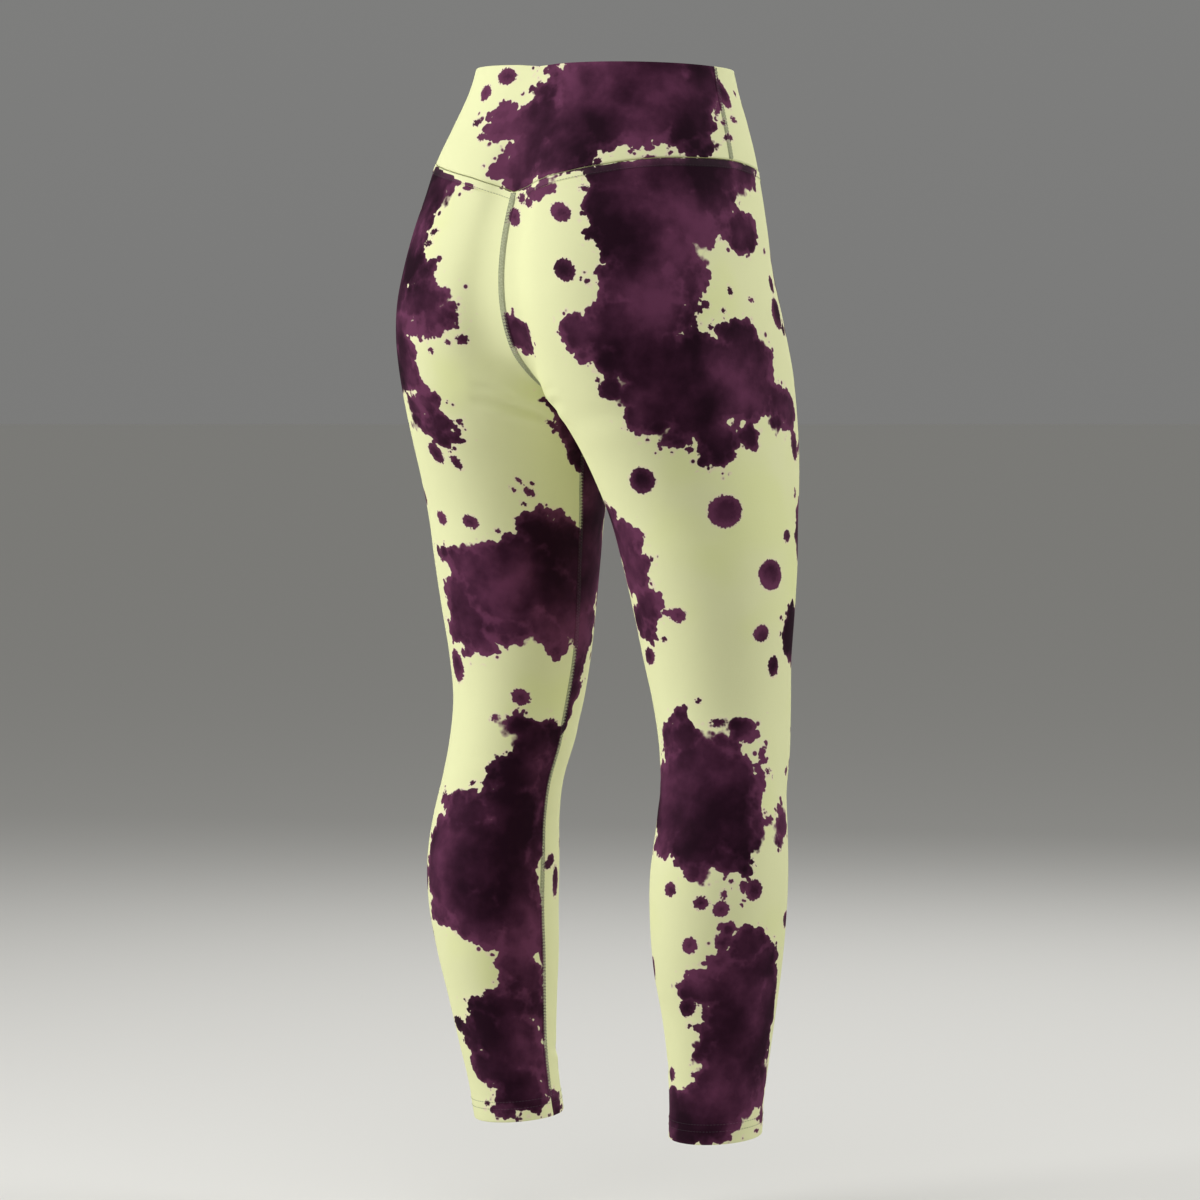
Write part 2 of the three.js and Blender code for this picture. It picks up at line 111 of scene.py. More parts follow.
# Heights of the waistband's top and of the seam under it: around is 0 at the middle of the
# front, 0.5 at the side and 1 at the middle of the back
Waist = namedtuple("Waist", "around top seam")
WAIST = [Waist(*row) for row in (
    (0, -9, -98), (0.25, -7, -95), (0.42, -4.2, -87.5), (0.5, -3, -82.5), (0.58, -1.6, -81),
    (0.68, -0.4, -82), (0.78, 0, -88), (0.88, -0.5, -97), (1, -2.5, -108.5),
)]

ANKLE_X, ANKLE_Y, ANKLE_Z = 112 * MM, -13 * MM, -901 * MM
HEM_RISE_TO_FRONT, HEM_RISE_TO_INSIDE, HEM_TILT_FROM = 0.11, 0.02, 0.7
CROTCH_Y, CROTCH_Z = CROTCH[0] * MM, CROTCH[1] * MM
TURN = 62 * MM  # above the crotch the outline's inner end turns from across the body to along it
ROUND = 0.5523  # length of a Bezier handle for a quarter ellipse
WAIST_SHARE, LEG_SHARE = 0.2, 0.47  # of a quarter turn's columns beside the middle
ROW_DIP = 0.3  # share of a row that bends down to follow the rise
RISE_POINTS = 401  # in each half of the middle seam's curve
CURVE_STEPS = 41  # along a quarter of an outline

# How finely the cloth is divided

LEG_COLUMNS = 185
HIP_ROWS = 90
LEG_ROWS = 238  # with the hip rows an even number of steps, so that the inside can be coarser
BAND_COLUMNS = 201
BAND_ROWS = 45
ROLL_ROWS = 4  # round a folded edge
ROLL_STEP = math.radians(20)
HEM_SWELL = 0.35 * MM  # how far the cloth stands out over the turned-up hem
BAND_REACH = 0.4  # of half the waistband's thickness, from the seam up to its cut edge
HEM_STEP = 1.5 * MM  # half the height over which the hem's thickness sets in
# Between hip and leg the rows are evened out: rows either way, rounds, share of the way to the
# neighbours' mean in a round, and share of a row at each edge where this sets in
EVEN_ROWS, EVEN_ROUNDS, EVEN_SHARE, EVEN_EDGE = 9.0, 40, 0.7, 0.1

# The photograph's camera

PHOTO = 1200  # pixels each way
SENSOR, LENS = 36.0, 175.5
FOCAL = LENS / SENSOR * PHOTO
BEARING, PITCH = math.radians(40), math.radians(2.447)
DISTANCE, EYE_HEIGHT, SIDESTEP = 4.9725, -0.2397, 5.5 * MM
IN_SIGHT = 0.25  # metres: the least that a place turned towards the camera faces it
NARROWEST = 0.35  # least share of its width at which cloth turned aside is taken to show
RIGHT = np.array([-math.cos(BEARING), -math.sin(BEARING), 0])
TOWARD = np.array([-math.sin(BEARING), math.cos(BEARING), 0])
AHEAD = np.array([0, 0, -math.sin(PITCH)]) - TOWARD * math.cos(PITCH)
UP = np.cross(RIGHT, AHEAD)
EYE = TOWARD * DISTANCE + np.array([0, 0, EYE_HEIGHT]) - RIGHT * SIDESTEP

# The print

# Blots in view: the photograph's pixel at the middle (column, row), and half the width and
# height in millimetres. A mass is many blots run together, with a scalloped edge.
Blot = namedtuple("Blot", "column row across down")
MASSES = {
    "back_waistband": [
        (640, 68, 78, 13), (585, 90, 24, 24), (620, 95, 28, 26), (660, 98, 30, 30),
        (697, 92, 20, 25), (690, 122, 18, 19), (650, 118, 27, 22), (610, 122, 24, 22),
        (570, 122, 24, 28), (540, 120, 22, 20), (512, 125, 18, 11), (532, 152, 18, 19),
        (560, 150, 21, 18), (520, 170, 20, 13), (504, 171, 9, 9), (497, 128, 8, 9),
        (576, 142, 16, 17), (545, 166, 15, 11), (518, 184, 8, 7), (706, 150, 6, 8),
        (706, 130, 6, 8), (560, 163, 13, 9), (582, 158, 12, 8), (503, 112, 12, 8),
        (694, 147, 12, 9), (546, 92, 12, 9), (557, 74, 7, 6), (658, 143, 9, 5),
    ],
    "right_leg": [
        (617, 180, 24, 17), (665, 178, 34, 20), (712, 174, 34, 18), (746, 174, 13, 12),
        (606, 208, 18, 19), (640, 215, 29, 27), (685, 212, 27, 24), (714, 200, 18, 16),
        (743, 234, 13, 19), (700, 232, 15, 14), (618, 240, 14, 16), (642, 252, 31, 24),
        (674, 250, 20, 19), (688, 284, 9, 18), (645, 285, 40, 20), (608, 270, 7, 8),
        (642, 320, 40, 23), (578, 333, 16, 16), (608, 332, 22, 18), (650, 360, 38, 26),
        (700, 368, 36, 26), (745, 362, 25, 24), (738, 336, 18, 13), (660, 398, 31, 25),
        (702, 405, 31, 27), (746, 394, 30, 22), (778, 402, 9, 13), (640, 414, 15, 14),
        (718, 438, 16, 18), (690, 422, 18, 12), (720, 452, 12, 11), (716, 463, 4, 5),
        (779, 420, 6, 8), (651, 428, 11, 6), (664, 440, 5, 6), (610, 362, 13, 13),
        (747, 437, 8, 9), (516, 333, 13, 16), (542, 191, 8, 4), (535, 194, 4, 3),
        (606, 519, 7, 11), (621, 540, 10, 18), (633, 572, 12, 20), (648, 604, 11, 16),
        (686, 318, 7, 13), (614, 386, 11, 9), (582, 353, 12, 7), (700, 270, 8, 12),
        (788, 410, 6, 17), (756, 822, 6, 17), (681, 440, 10, 6), (669, 738, 6, 15),
        (662, 846, 8, 10), (717, 961, 8, 6), (672, 1110, 6, 20), (763, 1080, 4, 20),
        (595, 231, 7, 6), (722, 227, 6, 9), (705, 456, 6, 8), (722, 942, 7, 9), (728, 863, 10, 10),
        (738, 858, 7, 9), (752, 438, 7, 7), (648, 632, 6, 8), (640, 620, 5, 12), (792, 632, 7, 24),
        (684, 737, 15, 15), (680, 716, 5, 7), (742, 729, 12, 9), (724, 745, 12, 8),
        (700, 765, 30, 23), (730, 782, 23, 23), (708, 810, 38, 30), (676, 792, 16, 34),
        (694, 843, 20, 22), (735, 835, 17, 16), (695, 868, 12, 10), (745, 864, 4, 14),
        (720, 858, 15, 9), (667, 826, 10, 14), (782, 824, 5, 15), (769, 822, 5, 2.5),
        (750, 945, 18, 15), (727, 931, 6, 7), (765, 965, 11, 19), (742, 985, 27, 22),
        (714, 990, 21, 14), (690, 988, 11, 11), (740, 1020, 29, 26), (736, 1060, 27, 27),
        (716, 1078, 16, 16), (760, 1040, 9, 36), (722, 1098, 36, 19), (692, 1112, 19, 22),
        (708, 1127, 23, 14), (733, 1112, 11, 12), (682, 1132, 10, 11), (745, 1090, 15, 15),
        (768, 1000, 8, 30), (703, 978, 11, 7), (705, 1042, 8, 20), (759, 782, 4, 20),
        (664, 800, 9, 30),
    ],
    "left_leg": [
        (428, 188, 8, 16), (414, 230, 8, 18), (406, 262, 8, 16), (399, 298, 8, 18),
        (397, 330, 8, 18), (397, 360, 8, 18), (399, 384, 6, 10), (445, 173, 14, 12),
        (434, 195, 9, 15), (424, 215, 8, 12), (416, 240, 7, 13), (411, 266, 9, 15),
        (427, 270, 6, 10), (418, 300, 19, 15), (432, 318, 16, 13), (449, 318, 7, 6),
        (410, 332, 10, 5), (401, 324, 8, 9), (403, 352, 7, 17), (409, 375, 7, 15),
        (425, 400, 11, 11), (440, 424, 12, 11), (428, 430, 6, 4), (414, 404, 5, 8),
        (562, 412, 9, 10), (569, 426, 11, 12), (575, 441, 10, 11), (581, 458, 9, 14),
        (589, 466, 9, 14), (442, 438, 12, 9), (419, 421, 6, 6), (446, 553, 7, 6),
        (470, 565, 18, 17), (464, 615, 14, 21), (480, 640, 13, 12), (500, 590, 30, 32),
        (500, 560, 20, 16), (530, 572, 26, 33), (540, 532, 19, 15), (560, 542, 13, 19),
        (558, 600, 17, 36), (545, 630, 17, 15), (515, 628, 14, 9), (540, 513, 5, 7),
        (568, 530, 8, 12), (455, 600, 5, 4), (592, 478, 13, 22), (592, 520, 16, 30),
        (590, 565, 18, 30), (586, 596, 14, 20), (580, 645, 10, 13), (576, 672, 8, 12),
        (572, 694, 7, 13), (566, 717, 4, 10), (573, 560, 11, 32), (571, 604, 11, 34),
        (530, 978, 12, 16), (586, 622, 8, 12), (458, 592, 12, 14), (552, 742, 7, 18),
        (543, 782, 7, 24), (536, 840, 6, 40), (535, 920, 6, 50), (536, 1000, 6, 40),
        (536, 1050, 5, 36), (440, 850, 13, 32), (511, 966, 11, 14), (512, 986, 9, 11),
        (500, 632, 16, 11), (441, 912, 9, 11), (472, 1034, 8, 13), (476, 650, 12, 6),
        (456, 631, 7, 11), (555, 516, 8, 5), (508, 1111, 10, 5), (555, 649, 9, 7),
        (493, 778, 5, 10), (438, 880, 10, 22), (462, 800, 18, 8), (468, 922, 18, 16),
        (487, 1030, 12, 26), (484, 1068, 9, 12), (492, 797, 10, 8), (509, 766, 8, 10),
        (519, 724, 13, 10), (535, 745, 17, 17), (522, 775, 19, 19), (503, 800, 20, 16),
        (466, 812, 21, 14), (455, 850, 20, 29), (450, 888, 17, 26), (480, 860, 29, 34),
        (515, 830, 20, 43), (480, 912, 22, 22), (515, 900, 20, 43), (489, 937, 13, 11),
        (521, 960, 13, 30), (507, 1008, 25, 14), (486, 1008, 14, 7), (520, 1042, 20, 34),
        (497, 1045, 17, 22), (500, 1068, 17, 17), (520, 1088, 20, 20), (505, 1100, 9, 9),
        (535, 1105, 8, 10), (553, 1106, 8, 10),
    ],
}
DROPLETS = {
    "back_waistband": [
        (507, 77, 7.5, 7), (486, 93, 4, 6.5), (477, 123, 3, 3), (482, 136, 3.4, 3),
        (605, 151, 3.2, 3), (597, 163, 3.2, 3), (650, 158, 5.5, 2.4), (630, 151, 2.3, 2.2),
        (671, 153, 2, 2), (724, 85, 2, 3), (720, 100, 3, 12), (732, 120, 2.2, 2.4),
        (728, 136, 2.4, 2.6), (717, 145, 2.2, 2.2),
    ],
    "front_waistband": [
        (721, 92, 6, 13), (733, 120, 2.4, 2.4), (729, 137, 2.6, 2.6),
    ],
    "right_leg": [
        (560, 212, 8, 8), (563, 270, 8.5, 9.4), (584, 189, 4.2, 2.8), (515, 217, 5, 7.2),
        (522, 197, 2.6, 4), (529, 202, 2.8, 3.6), (706, 305, 3.6, 3.4), (731, 292, 1.8, 4.4),
        (724, 310, 2, 2), (750, 301, 2, 2), (711, 326, 2.3, 2.3), (752, 436, 5, 5.4),
        (689, 451, 3.2, 3), (598, 381, 2, 2), (602, 389, 2.2, 2.2), (777, 314, 4, 13),
        (794, 445, 3, 13), (641, 482, 10.8, 10.6), (726, 512, 14.5, 13.6), (771, 574, 9.6, 12.8),
        (761, 633, 6.2, 7), (774, 665, 4.3, 8.6), (797, 541, 3, 15), (678, 615, 6.6, 6),
        (668, 611, 6, 2.2), (665, 638, 2, 2), (650, 655, 3.8, 7.4), (698, 701, 2.2, 2.2),
        (719, 723, 6.2, 3.2), (745, 756, 2, 2), (768, 771, 2, 2), (752, 863, 2.6, 2.6),
        (671, 889, 4.7, 6), (701, 903, 6.5, 5.4), (720, 910, 6.8, 6.6), (724, 894, 2.6, 3.4),
        (755, 890, 6.8, 8.4), (731, 883, 2.2, 2.2), (690, 946, 6.4, 6.8), (786, 920, 3, 7),
        (729, 1137, 3, 3), (757, 1118, 1.4, 1.6), (757, 1131, 1.4, 1.9), (654, 967, 2.6, 10),
        (671, 1075, 2.2, 6), (688, 1008, 7, 8), (690, 1027, 2, 2), (693, 1075, 2, 2),
        (606, 251, 2.4, 3),
    ],
    "left_leg": [
        (468, 187, 3.6, 3.4), (428, 243, 2.4, 2.4), (435, 231, 2.4, 2.4), (461, 339, 5.4, 4.2),
        (449, 342, 2.3, 2.3), (431, 351, 2.4, 2.4), (435, 453, 5, 8.6), (455, 462, 3.6, 6.2),
        (551, 423, 3.6, 3.4), (577, 457, 3.2, 3), (561, 410, 3, 5), (528, 493, 4.4, 3.8),
        (514, 490, 1.9, 2.2), (532, 482, 1.7, 1.9), (524, 505, 2.3, 2), (517, 479, 2, 2.6),
        (470, 522, 6.2, 5.8), (441, 519, 3.6, 6), (498, 530, 2.2, 2.2), (457, 665, 4.2, 14),
        (520, 696, 7.8, 7), (496, 717, 3.6, 3.4), (549, 726, 7.5, 6), (473, 784, 2.2, 2.2),
        (459, 1024, 4.2, 6.6), (474, 1052, 2, 2), (488, 1104, 2.2, 2.2), (547, 865, 3.4, 3.4),
        (555, 880, 2.4, 13), (551, 857, 2.6, 4), (425, 496, 2.4, 7),
    ],
}

# Masses out of view, by piece: the distance round the cloth from the side of the body (from
# the middle on a waistband), the height, and half the spread each way, in millimetres
Splash = namedtuple("Splash", "arc height across down seed")
SPLASHES = {
    "front_waistband": [(-74, -44, 56, 34, 11), (62, -70, 44, 26, 12), (140, -24, 36, 20, 13)],
    "right_leg": [
        (-128, -176, 70, 76, 21), (-226, -232, 30, 34, 22), (-112, -392, 66, 66, 23),
        (-208, -470, 38, 52, 24), (-104, -596, 56, 54, 25), (-146, -756, 46, 62, 26),
        (-66, -858, 40, 44, 27), (178, -560, 26, 50, 28),
    ],
    "left_leg": [
        (-46, -188, 66, 78, 31), (-186, -250, 54, 60, 32), (-118, -424, 68, 60, 33),
        (2, -372, 40, 54, 34), (-50, -576, 64, 62, 35), (-98, -668, 32, 42, 36),
        (-46, -808, 54, 60, 37), (6, -700, 34, 40, 38),
    ],
}
BODIES, LOBES, SPRAY = 4, 17, 10  # large and small blots of a splash, and droplets outside it
# Where they lie, as a share of its spread from its middle, and their shares of its size
CORE_SIZE = 0.36
BODY_PLACE, BODY_SIZE = (0.25, 0.55), (0.26, 0.46)
LOBE_PLACE, LOBE_SIZE = (0.4, 0.92), (0.1, 0.3)
SPRAY_PLACE, SPRAY_SIZES = (1.0, 1.5), (2.2, 2.6, 3.4, 5.5, 8.0)  # the sizes in millimetres
SPRAY_ACROSS, SPRAY_DOWN = (0.85, 1.1), (0.9, 1.3)  # shares of a droplet's size
SWAY = (-0.2, 0.2)  # radians that a small blot lies off its even place
FUSE = 1.2  # millimetres over which neighbouring blots run into one another
DRY = -40.0  # depth given to cloth far from any ink
INK_KINDS = ("mass", "droplet")  # names of the depths of ink that the cloth's points carry

# Soft creases, by piece: from and to (arc, height), depth, width and bow, in millimetres
Crease = namedtuple("Crease", "arc_a height_a arc_b height_b depth width bow")
CREASES = {
    "left_leg": [
        (206, -281, 262, -294, 3.0, 5, 2), (214, -270, 256, -280, 1.5, 5, 2),
        (96, -290, 206, -302, 1.2, 10, 3), (-214, -262, -138, -236, 0.9, 8, 3),
        (66, -588, 150, -598, 0.5, 6, 3), (84, -610, 168, -604, 0.4, 6, -2),
        (-152, -556, -84, -562, 0.5, 7, -3), (-124, -842, -92, -848, 1.3, 4.5, 2),
        (92, -856, 122, -848, 0.8, 5, -1),
    ],
    "right_leg": [
        (196, -284, 246, -290, 1.5, 5, 3), (200, -271, 244, -276, 0.8, 5, 1),
        (92, -294, 198, -300, 1.1, 10, 4), (-218, -266, -146, -232, 1.0, 9, -2),
        (60, -592, 142, -600, 0.5, 6, 2), (76, -614, 156, -606, 0.4, 7, -3),
        (-148, -552, -72, -558, 0.5, 7, -2), (-126, -852, -96, -846, 1.1, 5, 1),
        (96, -842, 126, -850, 0.9, 5, 2),
    ],
}
RIDGE_SHARE, RIDGE_PLACE = 0.5, 1.9  # of a crease's depth, and of its width below the trough
CREASE_FADE = 0.8  # power of the sine by which a crease fades towards its ends


# Curves

def through(keys, values, at):
    """Smooth curve through the values, with each slope taken from both neighbours."""
    keys, values, at = (np.asarray(part, float) for part in (keys, values, at))
    spans = np.diff(keys)
    slopes = np.diff(values) / spans
    tangents = np.concatenate([slopes[:1], np.empty(len(spans) - 1), slopes[-1:]])
    tangents[1:-1] = (slopes[:-1] * spans[1:] + slopes[1:] * spans[:-1]) / (spans[:-1] + spans[1:])
    i = np.clip(np.searchsorted(keys, at) - 1, 0, len(spans) - 1)
    t = (at - keys[i]) / spans[i]
    straight = values[i] + (values[i + 1] - values[i]) * t * t * (3 - 2 * t)
    return straight + spans[i] * t * (1 - t) * ((1 - t) * tangents[i] - t * tangents[i + 1])


def smoothstep(value, low, high):
    t = np.clip((value - low) / (high - low), 0, 1)
    return t * t * (3 - 2 * t)


def reader(rows, key, column):
    """Function that reads one column of a table by another column's values."""
    rows = sorted(rows, key=lambda row: getattr(row, key))
    return partial(through, [getattr(row, key) for row in rows],
                   [getattr(row, column) * MM for row in rows])


def level_reader(rows, column):
    """Function that reads one column of a table of levels by height, in metres."""
    rows = [row._replace(z=row.z * MM) for row in rows]
    return reader(rows, "z", column)


PROFILE = {name: level_reader(HIP + LEG, name) for name in Level._fields[1:7]}
PROFILE.update({name: level_reader(LEG, name) for name in ("in_x", "in_y")})
waist_top, waist_seam = (reader(WAIST, "around", column) for column in ("top", "seam"))


def walked(points, axis=0):
    """Length of the way to each point along one axis of a grid, from 0 at the first."""
    steps = np.linalg.norm(np.diff(points, axis=axis), axis=-1)
    start = np.zeros_like(np.take(steps, [0], axis))
    return np.concatenate([start, np.cumsum(steps, axis=axis)], axis=axis)


def rise_curve(points):
    """The middle seam as closely spaced points, evenly along its length: y and z."""
    points = np.array(points, float) * MM
    lengths = walked(points)
    along = np.linspace(0, lengths[-1], RISE_POINTS)
    return np.stack([through(lengths, points[:, k], along) for k in (0, 1)], 1)


RISES = {False: rise_curve(FRONT_RISE), True: rise_curve(BACK_RISE)}  # by whether it is behind


def rise_y(behind, z):
    curve = RISES[behind][::-1]
    return np.interp(z, curve[:, 1], curve[:, 0])


def rise_z(behind, down):
    """Height of the middle seam, a share of the way down from the waist seam to the crotch."""
    heights = RISES[behind][:, 1]
    places = np.arange(RISE_POINTS)
    start = np.interp(-float(waist_seam(1.0 if behind else 0.0)), -heights, places)
    place = start + (RISE_POINTS - 1 - start) * np.asarray(down, float)
    return np.interp(place, places, heights)


def bezier(handles, t):
    """Points of curves with handles of shape (n, 4, 2) at t of shape (n, m)."""
    s = 1 - t
    weights = np.stack([s**3, 3 * s * s * t, 3 * s * t * t, t**3], -1)
    return np.einsum("nmk,nkd->nmd", weights, handles)


def quarter_handles(z, quarter):
    """Handles of the outline at heights z, in the quarters from the front round to the back."""
    level = {name: read(z) for name, read in PROFILE.items()}
    front, side, back = ((level[name + "_x"], level[name + "_y"])
                         for name in ("front", "side", "back"))
    hip = z > CROTCH_Z
    in_x = np.where(hip, 0, level["in_x"])
    turn = 1 - smoothstep(z, CROTCH_Z, CROTCH_Z + TURN)

    def toward(point, corner):
        return [a + ROUND * (b - a) for a, b in zip(point, corner)]

    def inner(behind, end):
        y = np.where(hip, rise_y(behind, z), level["in_y"])
        leaving = (in_x + ROUND * (1 - turn) * (end[0] - in_x), y + ROUND * turn * (end[1] - y))
        return [(in_x, y), leaving, toward(end, (in_x, end[1])), end]

    def outer(start, end, corner):
        return [start, toward(start, corner), toward(end, corner), end]

    handles = np.array([inner(False, front), outer(front, side, (side[0], front[1])),
                        outer(side, back, (side[0], back[1])), inner(True, back)[::-1]])
    return handles[quarter, :, :, np.arange(len(z))]


def outline_walk(handles):
    """Evenly numbered places on curves, and the length of the way to each."""
    t = np.tile(np.linspace(0, 1, CURVE_STEPS), (len(handles), 1))
    return t, walked(bezier(handles, t), axis=1)


def inner_share(z):
    return WAIST_SHARE + (LEG_SHARE - WAIST_SHARE) * smoothstep(-z, 0, -CROTCH_Z)


def skin(around, z):
    """Points of the outer face, left side: around is 0 at the front middle, 1 at the back."""
    around, z = np.broadcast_arrays(np.asarray(around, float), np.asarray(z, float))
    shape, around, z = around.shape, around.ravel(), z.ravel()
    share = inner_share(z)
    from_middle = 2 * np.minimum(around, 1 - around)
    behind, inner = around > 0.5, from_middle < share
    quarter = np.where(behind, np.where(inner, 3, 2), np.where(inner, 0, 1))
    t = np.where(inner, from_middle / share, (from_middle - share) / (1 - share))
    handles = quarter_handles(z, quarter)
    places, lengths = outline_walk(handles)
    wanted = np.where(behind, 1 - t, t) * lengths[:, -1]
    i = np.clip((lengths < wanted[:, None]).sum(axis=1) - 1, 0, places.shape[1] - 2)
    n = np.arange(len(z))
    part = (wanted - lengths[n, i]) / (lengths[n, i + 1] - lengths[n, i])
    t = places[n, i] + part * (places[n, i + 1] - places[n, i])
    flat = bezier(handles, t[:, None])[:, 0]
    return np.concatenate([flat, z[:, None]], axis=1).reshape(*shape, 3)


def beside(length, z, quarter):
    """How far round the body a place lies, a length into a quarter from the seam beside it."""
    z = np.asarray(z, float)
    handles = quarter_handles(z.ravel(), np.full(z.size, quarter))
    whole = outline_walk(handles)[1][:, -1].reshape(z.shape)
    width = inner_share(z) if quarter in (0, 3) else 1 - inner_share(z)
    share = length / whole * width * 0.5
    return (share, 0.5 - share, 0.5 + share, 1 - share)[quarter]


def hip_height(around, down):
    """Heights of panel points: rows dip at the panel's edges, where they follow the rise."""
    seam = waist_seam(around)
    level = seam + (CROTCH_Z - seam) * down
    rise = np.where(around < 0.5, rise_z(False, down), rise_z(True, down))
    dip = 1 - smoothstep(np.minimum(around, 1 - around), 0, ROW_DIP)
    return level + (rise - level) * dip


def leg_height(around, down):
    """Heights of leg points: the lowest rows tilt to lie square to the ankle."""
    level = CROTCH_Z + (ANKLE_Z - CROTCH_Z) * down
    place = skin(around, level)
    rise = (ANKLE_Y - place[..., 1]) * HEM_RISE_TO_FRONT
    rise = rise + (ANKLE_X - place[..., 0]) * HEM_RISE_TO_INSIDE
    return level + rise * smoothstep(down, HEM_TILT_FROM, 1)


def outward(points):
    """Outward directions of a grid with rows down the body and columns from front to back."""
    normals = np.cross(np.gradient(points, axis=0), np.gradient(points, axis=1))
    return normals / np.linalg.norm(normals, axis=2, keepdims=True)


def flattened(normals, axis):
    """Directions with no part along one axis, for an edge that lies in a plane."""
    normals = normals.copy()
    normals[..., axis] = 0
    return normals / np.linalg.norm(normals, axis=-1, keepdims=True)


def mirrored(vectors):
    return vectors * np.array([-1, 1, 1])


def closed(rows):
    """The rows with the first one again at the end."""
    return np.concatenate([rows, rows[:1]])


# Meshes

def folded(outer, inner, normals, at_top):
    """Adds rows that round off a folded edge, at the top or at the bottom of the grids."""
    edge, before = (0, 1) if at_top else (-1, -2)
    ahead = outer[edge] - outer[before]
    ahead = ahead / np.linalg.norm(ahead, axis=1, keepdims=True)
    middle = (outer[edge] + inner[edge]) / 2
    radius = np.linalg.norm(outer[edge] - inner[edge], axis=1, keepdims=True) / 2
    rows_out, rows_in = [], []
    for k in range(1, ROLL_ROWS + 1):
        out, along = math.cos(k * ROLL_STEP), math.sin(k * ROLL_STEP)
        rows_out.append(middle + radius * (normals[edge] * out + ahead * along))
        rows_in.append(middle + radius * (-normals[edge] * out + ahead * along))
    if at_top:
        return np.concatenate([rows_out[::-1], outer]), np.concatenate([rows_in[::-1], inner])
    return np.concatenate([outer, rows_out]), np.concatenate([inner, rows_in])


def grid_faces(indices, ring=False):
    """Four-sided faces between neighbouring rows and columns of vertex numbers."""
    if ring:
        indices = np.concatenate([indices, indices[:, :1]], axis=1)
    corners = (indices[:-1, :-1], indices[1:, :-1], indices[1:, 1:], indices[:-1, 1:])
    return np.stack(corners, -1).reshape(-1, 4).tolist()


def rim_faces(fine, coarse):
    """Faces that join two edges, of which the second may have every second point."""
    if len(fine) == len(coarse):
        return grid_faces(np.array([fine, coarse]))
    faces = []
    for k in range(len(coarse) - 1):
        a, b, c = fine[2 * k], fine[2 * k + 1], fine[2 * k + 2]
        faces += [[a, b, coarse[k]], [b, coarse[k + 1], coarse[k]], [b, c, coarse[k + 1]]]
    return faces


def closed_shell(outer, inner, ring=False):
    """Points and faces of the closed body between an outer and an inner grid."""
    out = np.arange(outer.shape[0] * outer.shape[1]).reshape(outer.shape[:2])
    inn = out.size + np.arange(inner.shape[0] * inner.shape[1]).reshape(inner.shape[:2])
    points = np.concatenate([outer.reshape(-1, 3), inner.reshape(-1, 3)])
    faces = grid_faces(out, ring) + grid_faces(inn, ring)
    if ring:
        faces += rim_faces(closed(out[0]), closed(inn[0]))
        faces += rim_faces(closed(out[-1]), closed(inn[-1]))
    else:
        faces += rim_faces(out[0], inn[0]) + rim_faces(out[-1], inn[-1])
        faces += rim_faces(out[:, 0], inn[:, 0]) + rim_faces(out[:, -1], inn[:, -1])
    return points, faces


def new_piece(name, points, faces, material, values=None):
    """A smooth-shaded object with even normals, and named numbers on its points."""
    mesh = bpy.data.meshes.new(name)
    mesh.from_pydata(points.tolist(), [], faces)
    shape = bmesh.new()
    shape.from_mesh(mesh)
    bmesh.ops.recalc_face_normals(shape, faces=shape.faces)
    shape.to_mesh(mesh)
    shape.free()
    mesh.shade_smooth()
    for label, numbers in (values or {}).items():
        attribute = mesh.attributes.new(label, "FLOAT", "POINT")
        attribute.data.foreach_set("value", np.asarray(numbers, np.float32).ravel())
    mesh.materials.append(material)
    piece = bpy.data.objects.new(name, mesh)
    bpy.context.collection.objects.link(piece)
    return piece


def sewn_on(piece, slot, *nodes):
    """The piece belongs to the garment and stands for the nodes, which are hidden. The slot is not
    used.
    """
    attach(piece, "root")
    if nodes:
        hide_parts(*nodes)
    return piece


# The print on the cloth

def in_photo(points):
    """Column and row of the photograph at which each point shows."""
    offset = points - EYE
    depth = offset @ AHEAD
    column = PHOTO / 2 + FOCAL * (offset @ RIGHT) / depth
    return column, PHOTO / 2 - FOCAL * (offset @ UP) / depth


def on_cloth(blots, cloth):
    """Blots of the photograph as (arc, height, across, down) on the cloth, in metres."""
    column, row = in_photo(cloth["points"])
    facing = (cloth["normals"] * (EYE - cloth["points"])).sum(axis=2)
    shown = np.abs(np.gradient(column, axis=1) / np.gradient(cloth["arc"], axis=1))
    widening = 1 / np.clip(shown * DISTANCE / FOCAL, NARROWEST, 1)
    placed = []
    for blot in (Blot(*each) for each in blots):
        miss = (column - blot.column) ** 2 + (row - blot.row) ** 2
        at = np.unravel_index(np.argmin(np.where(facing > IN_SIGHT, miss, np.inf)), miss.shape)
        placed.append((cloth["arc"][at], cloth["height"][at], blot.across * MM * widening[at],
                       blot.down * MM))
    return placed


def splashed(splash):
    """Blots and droplets of a mass that is out of view."""
    draw = np.random.default_rng(splash.seed)
    spread = np.array([splash.across, splash.down])

    def blot(turn, far, size):
        place = spread * far * (math.cos(turn), math.sin(turn)) + (splash.arc, splash.height)
        return (*(place * MM), *(size * MM))

    masses = [blot(0, 0, CORE_SIZE * spread)]
    for turn in np.linspace(0, math.tau, BODIES, endpoint=False) + draw.uniform(0, math.tau):
        far = draw.uniform(*BODY_PLACE)
        masses.append(blot(turn, far, draw.uniform(*BODY_SIZE, 2) * spread))
    for turn in np.linspace(0, math.tau, LOBES, endpoint=False) + draw.uniform(*SWAY, LOBES):
        far = draw.uniform(*LOBE_PLACE)
        masses.append(blot(turn, far, draw.uniform(*LOBE_SIZE, 2) * min(spread)))
    droplets = []
    for turn in draw.uniform(0, math.tau, SPRAY):
        size = draw.choice(SPRAY_SIZES)
        far = draw.uniform(*SPRAY_PLACE)
        shape = np.array([draw.uniform(*SPRAY_ACROSS), draw.uniform(*SPRAY_DOWN)])
        droplets.append(blot(turn, far, size * shape))
    return masses, droplets


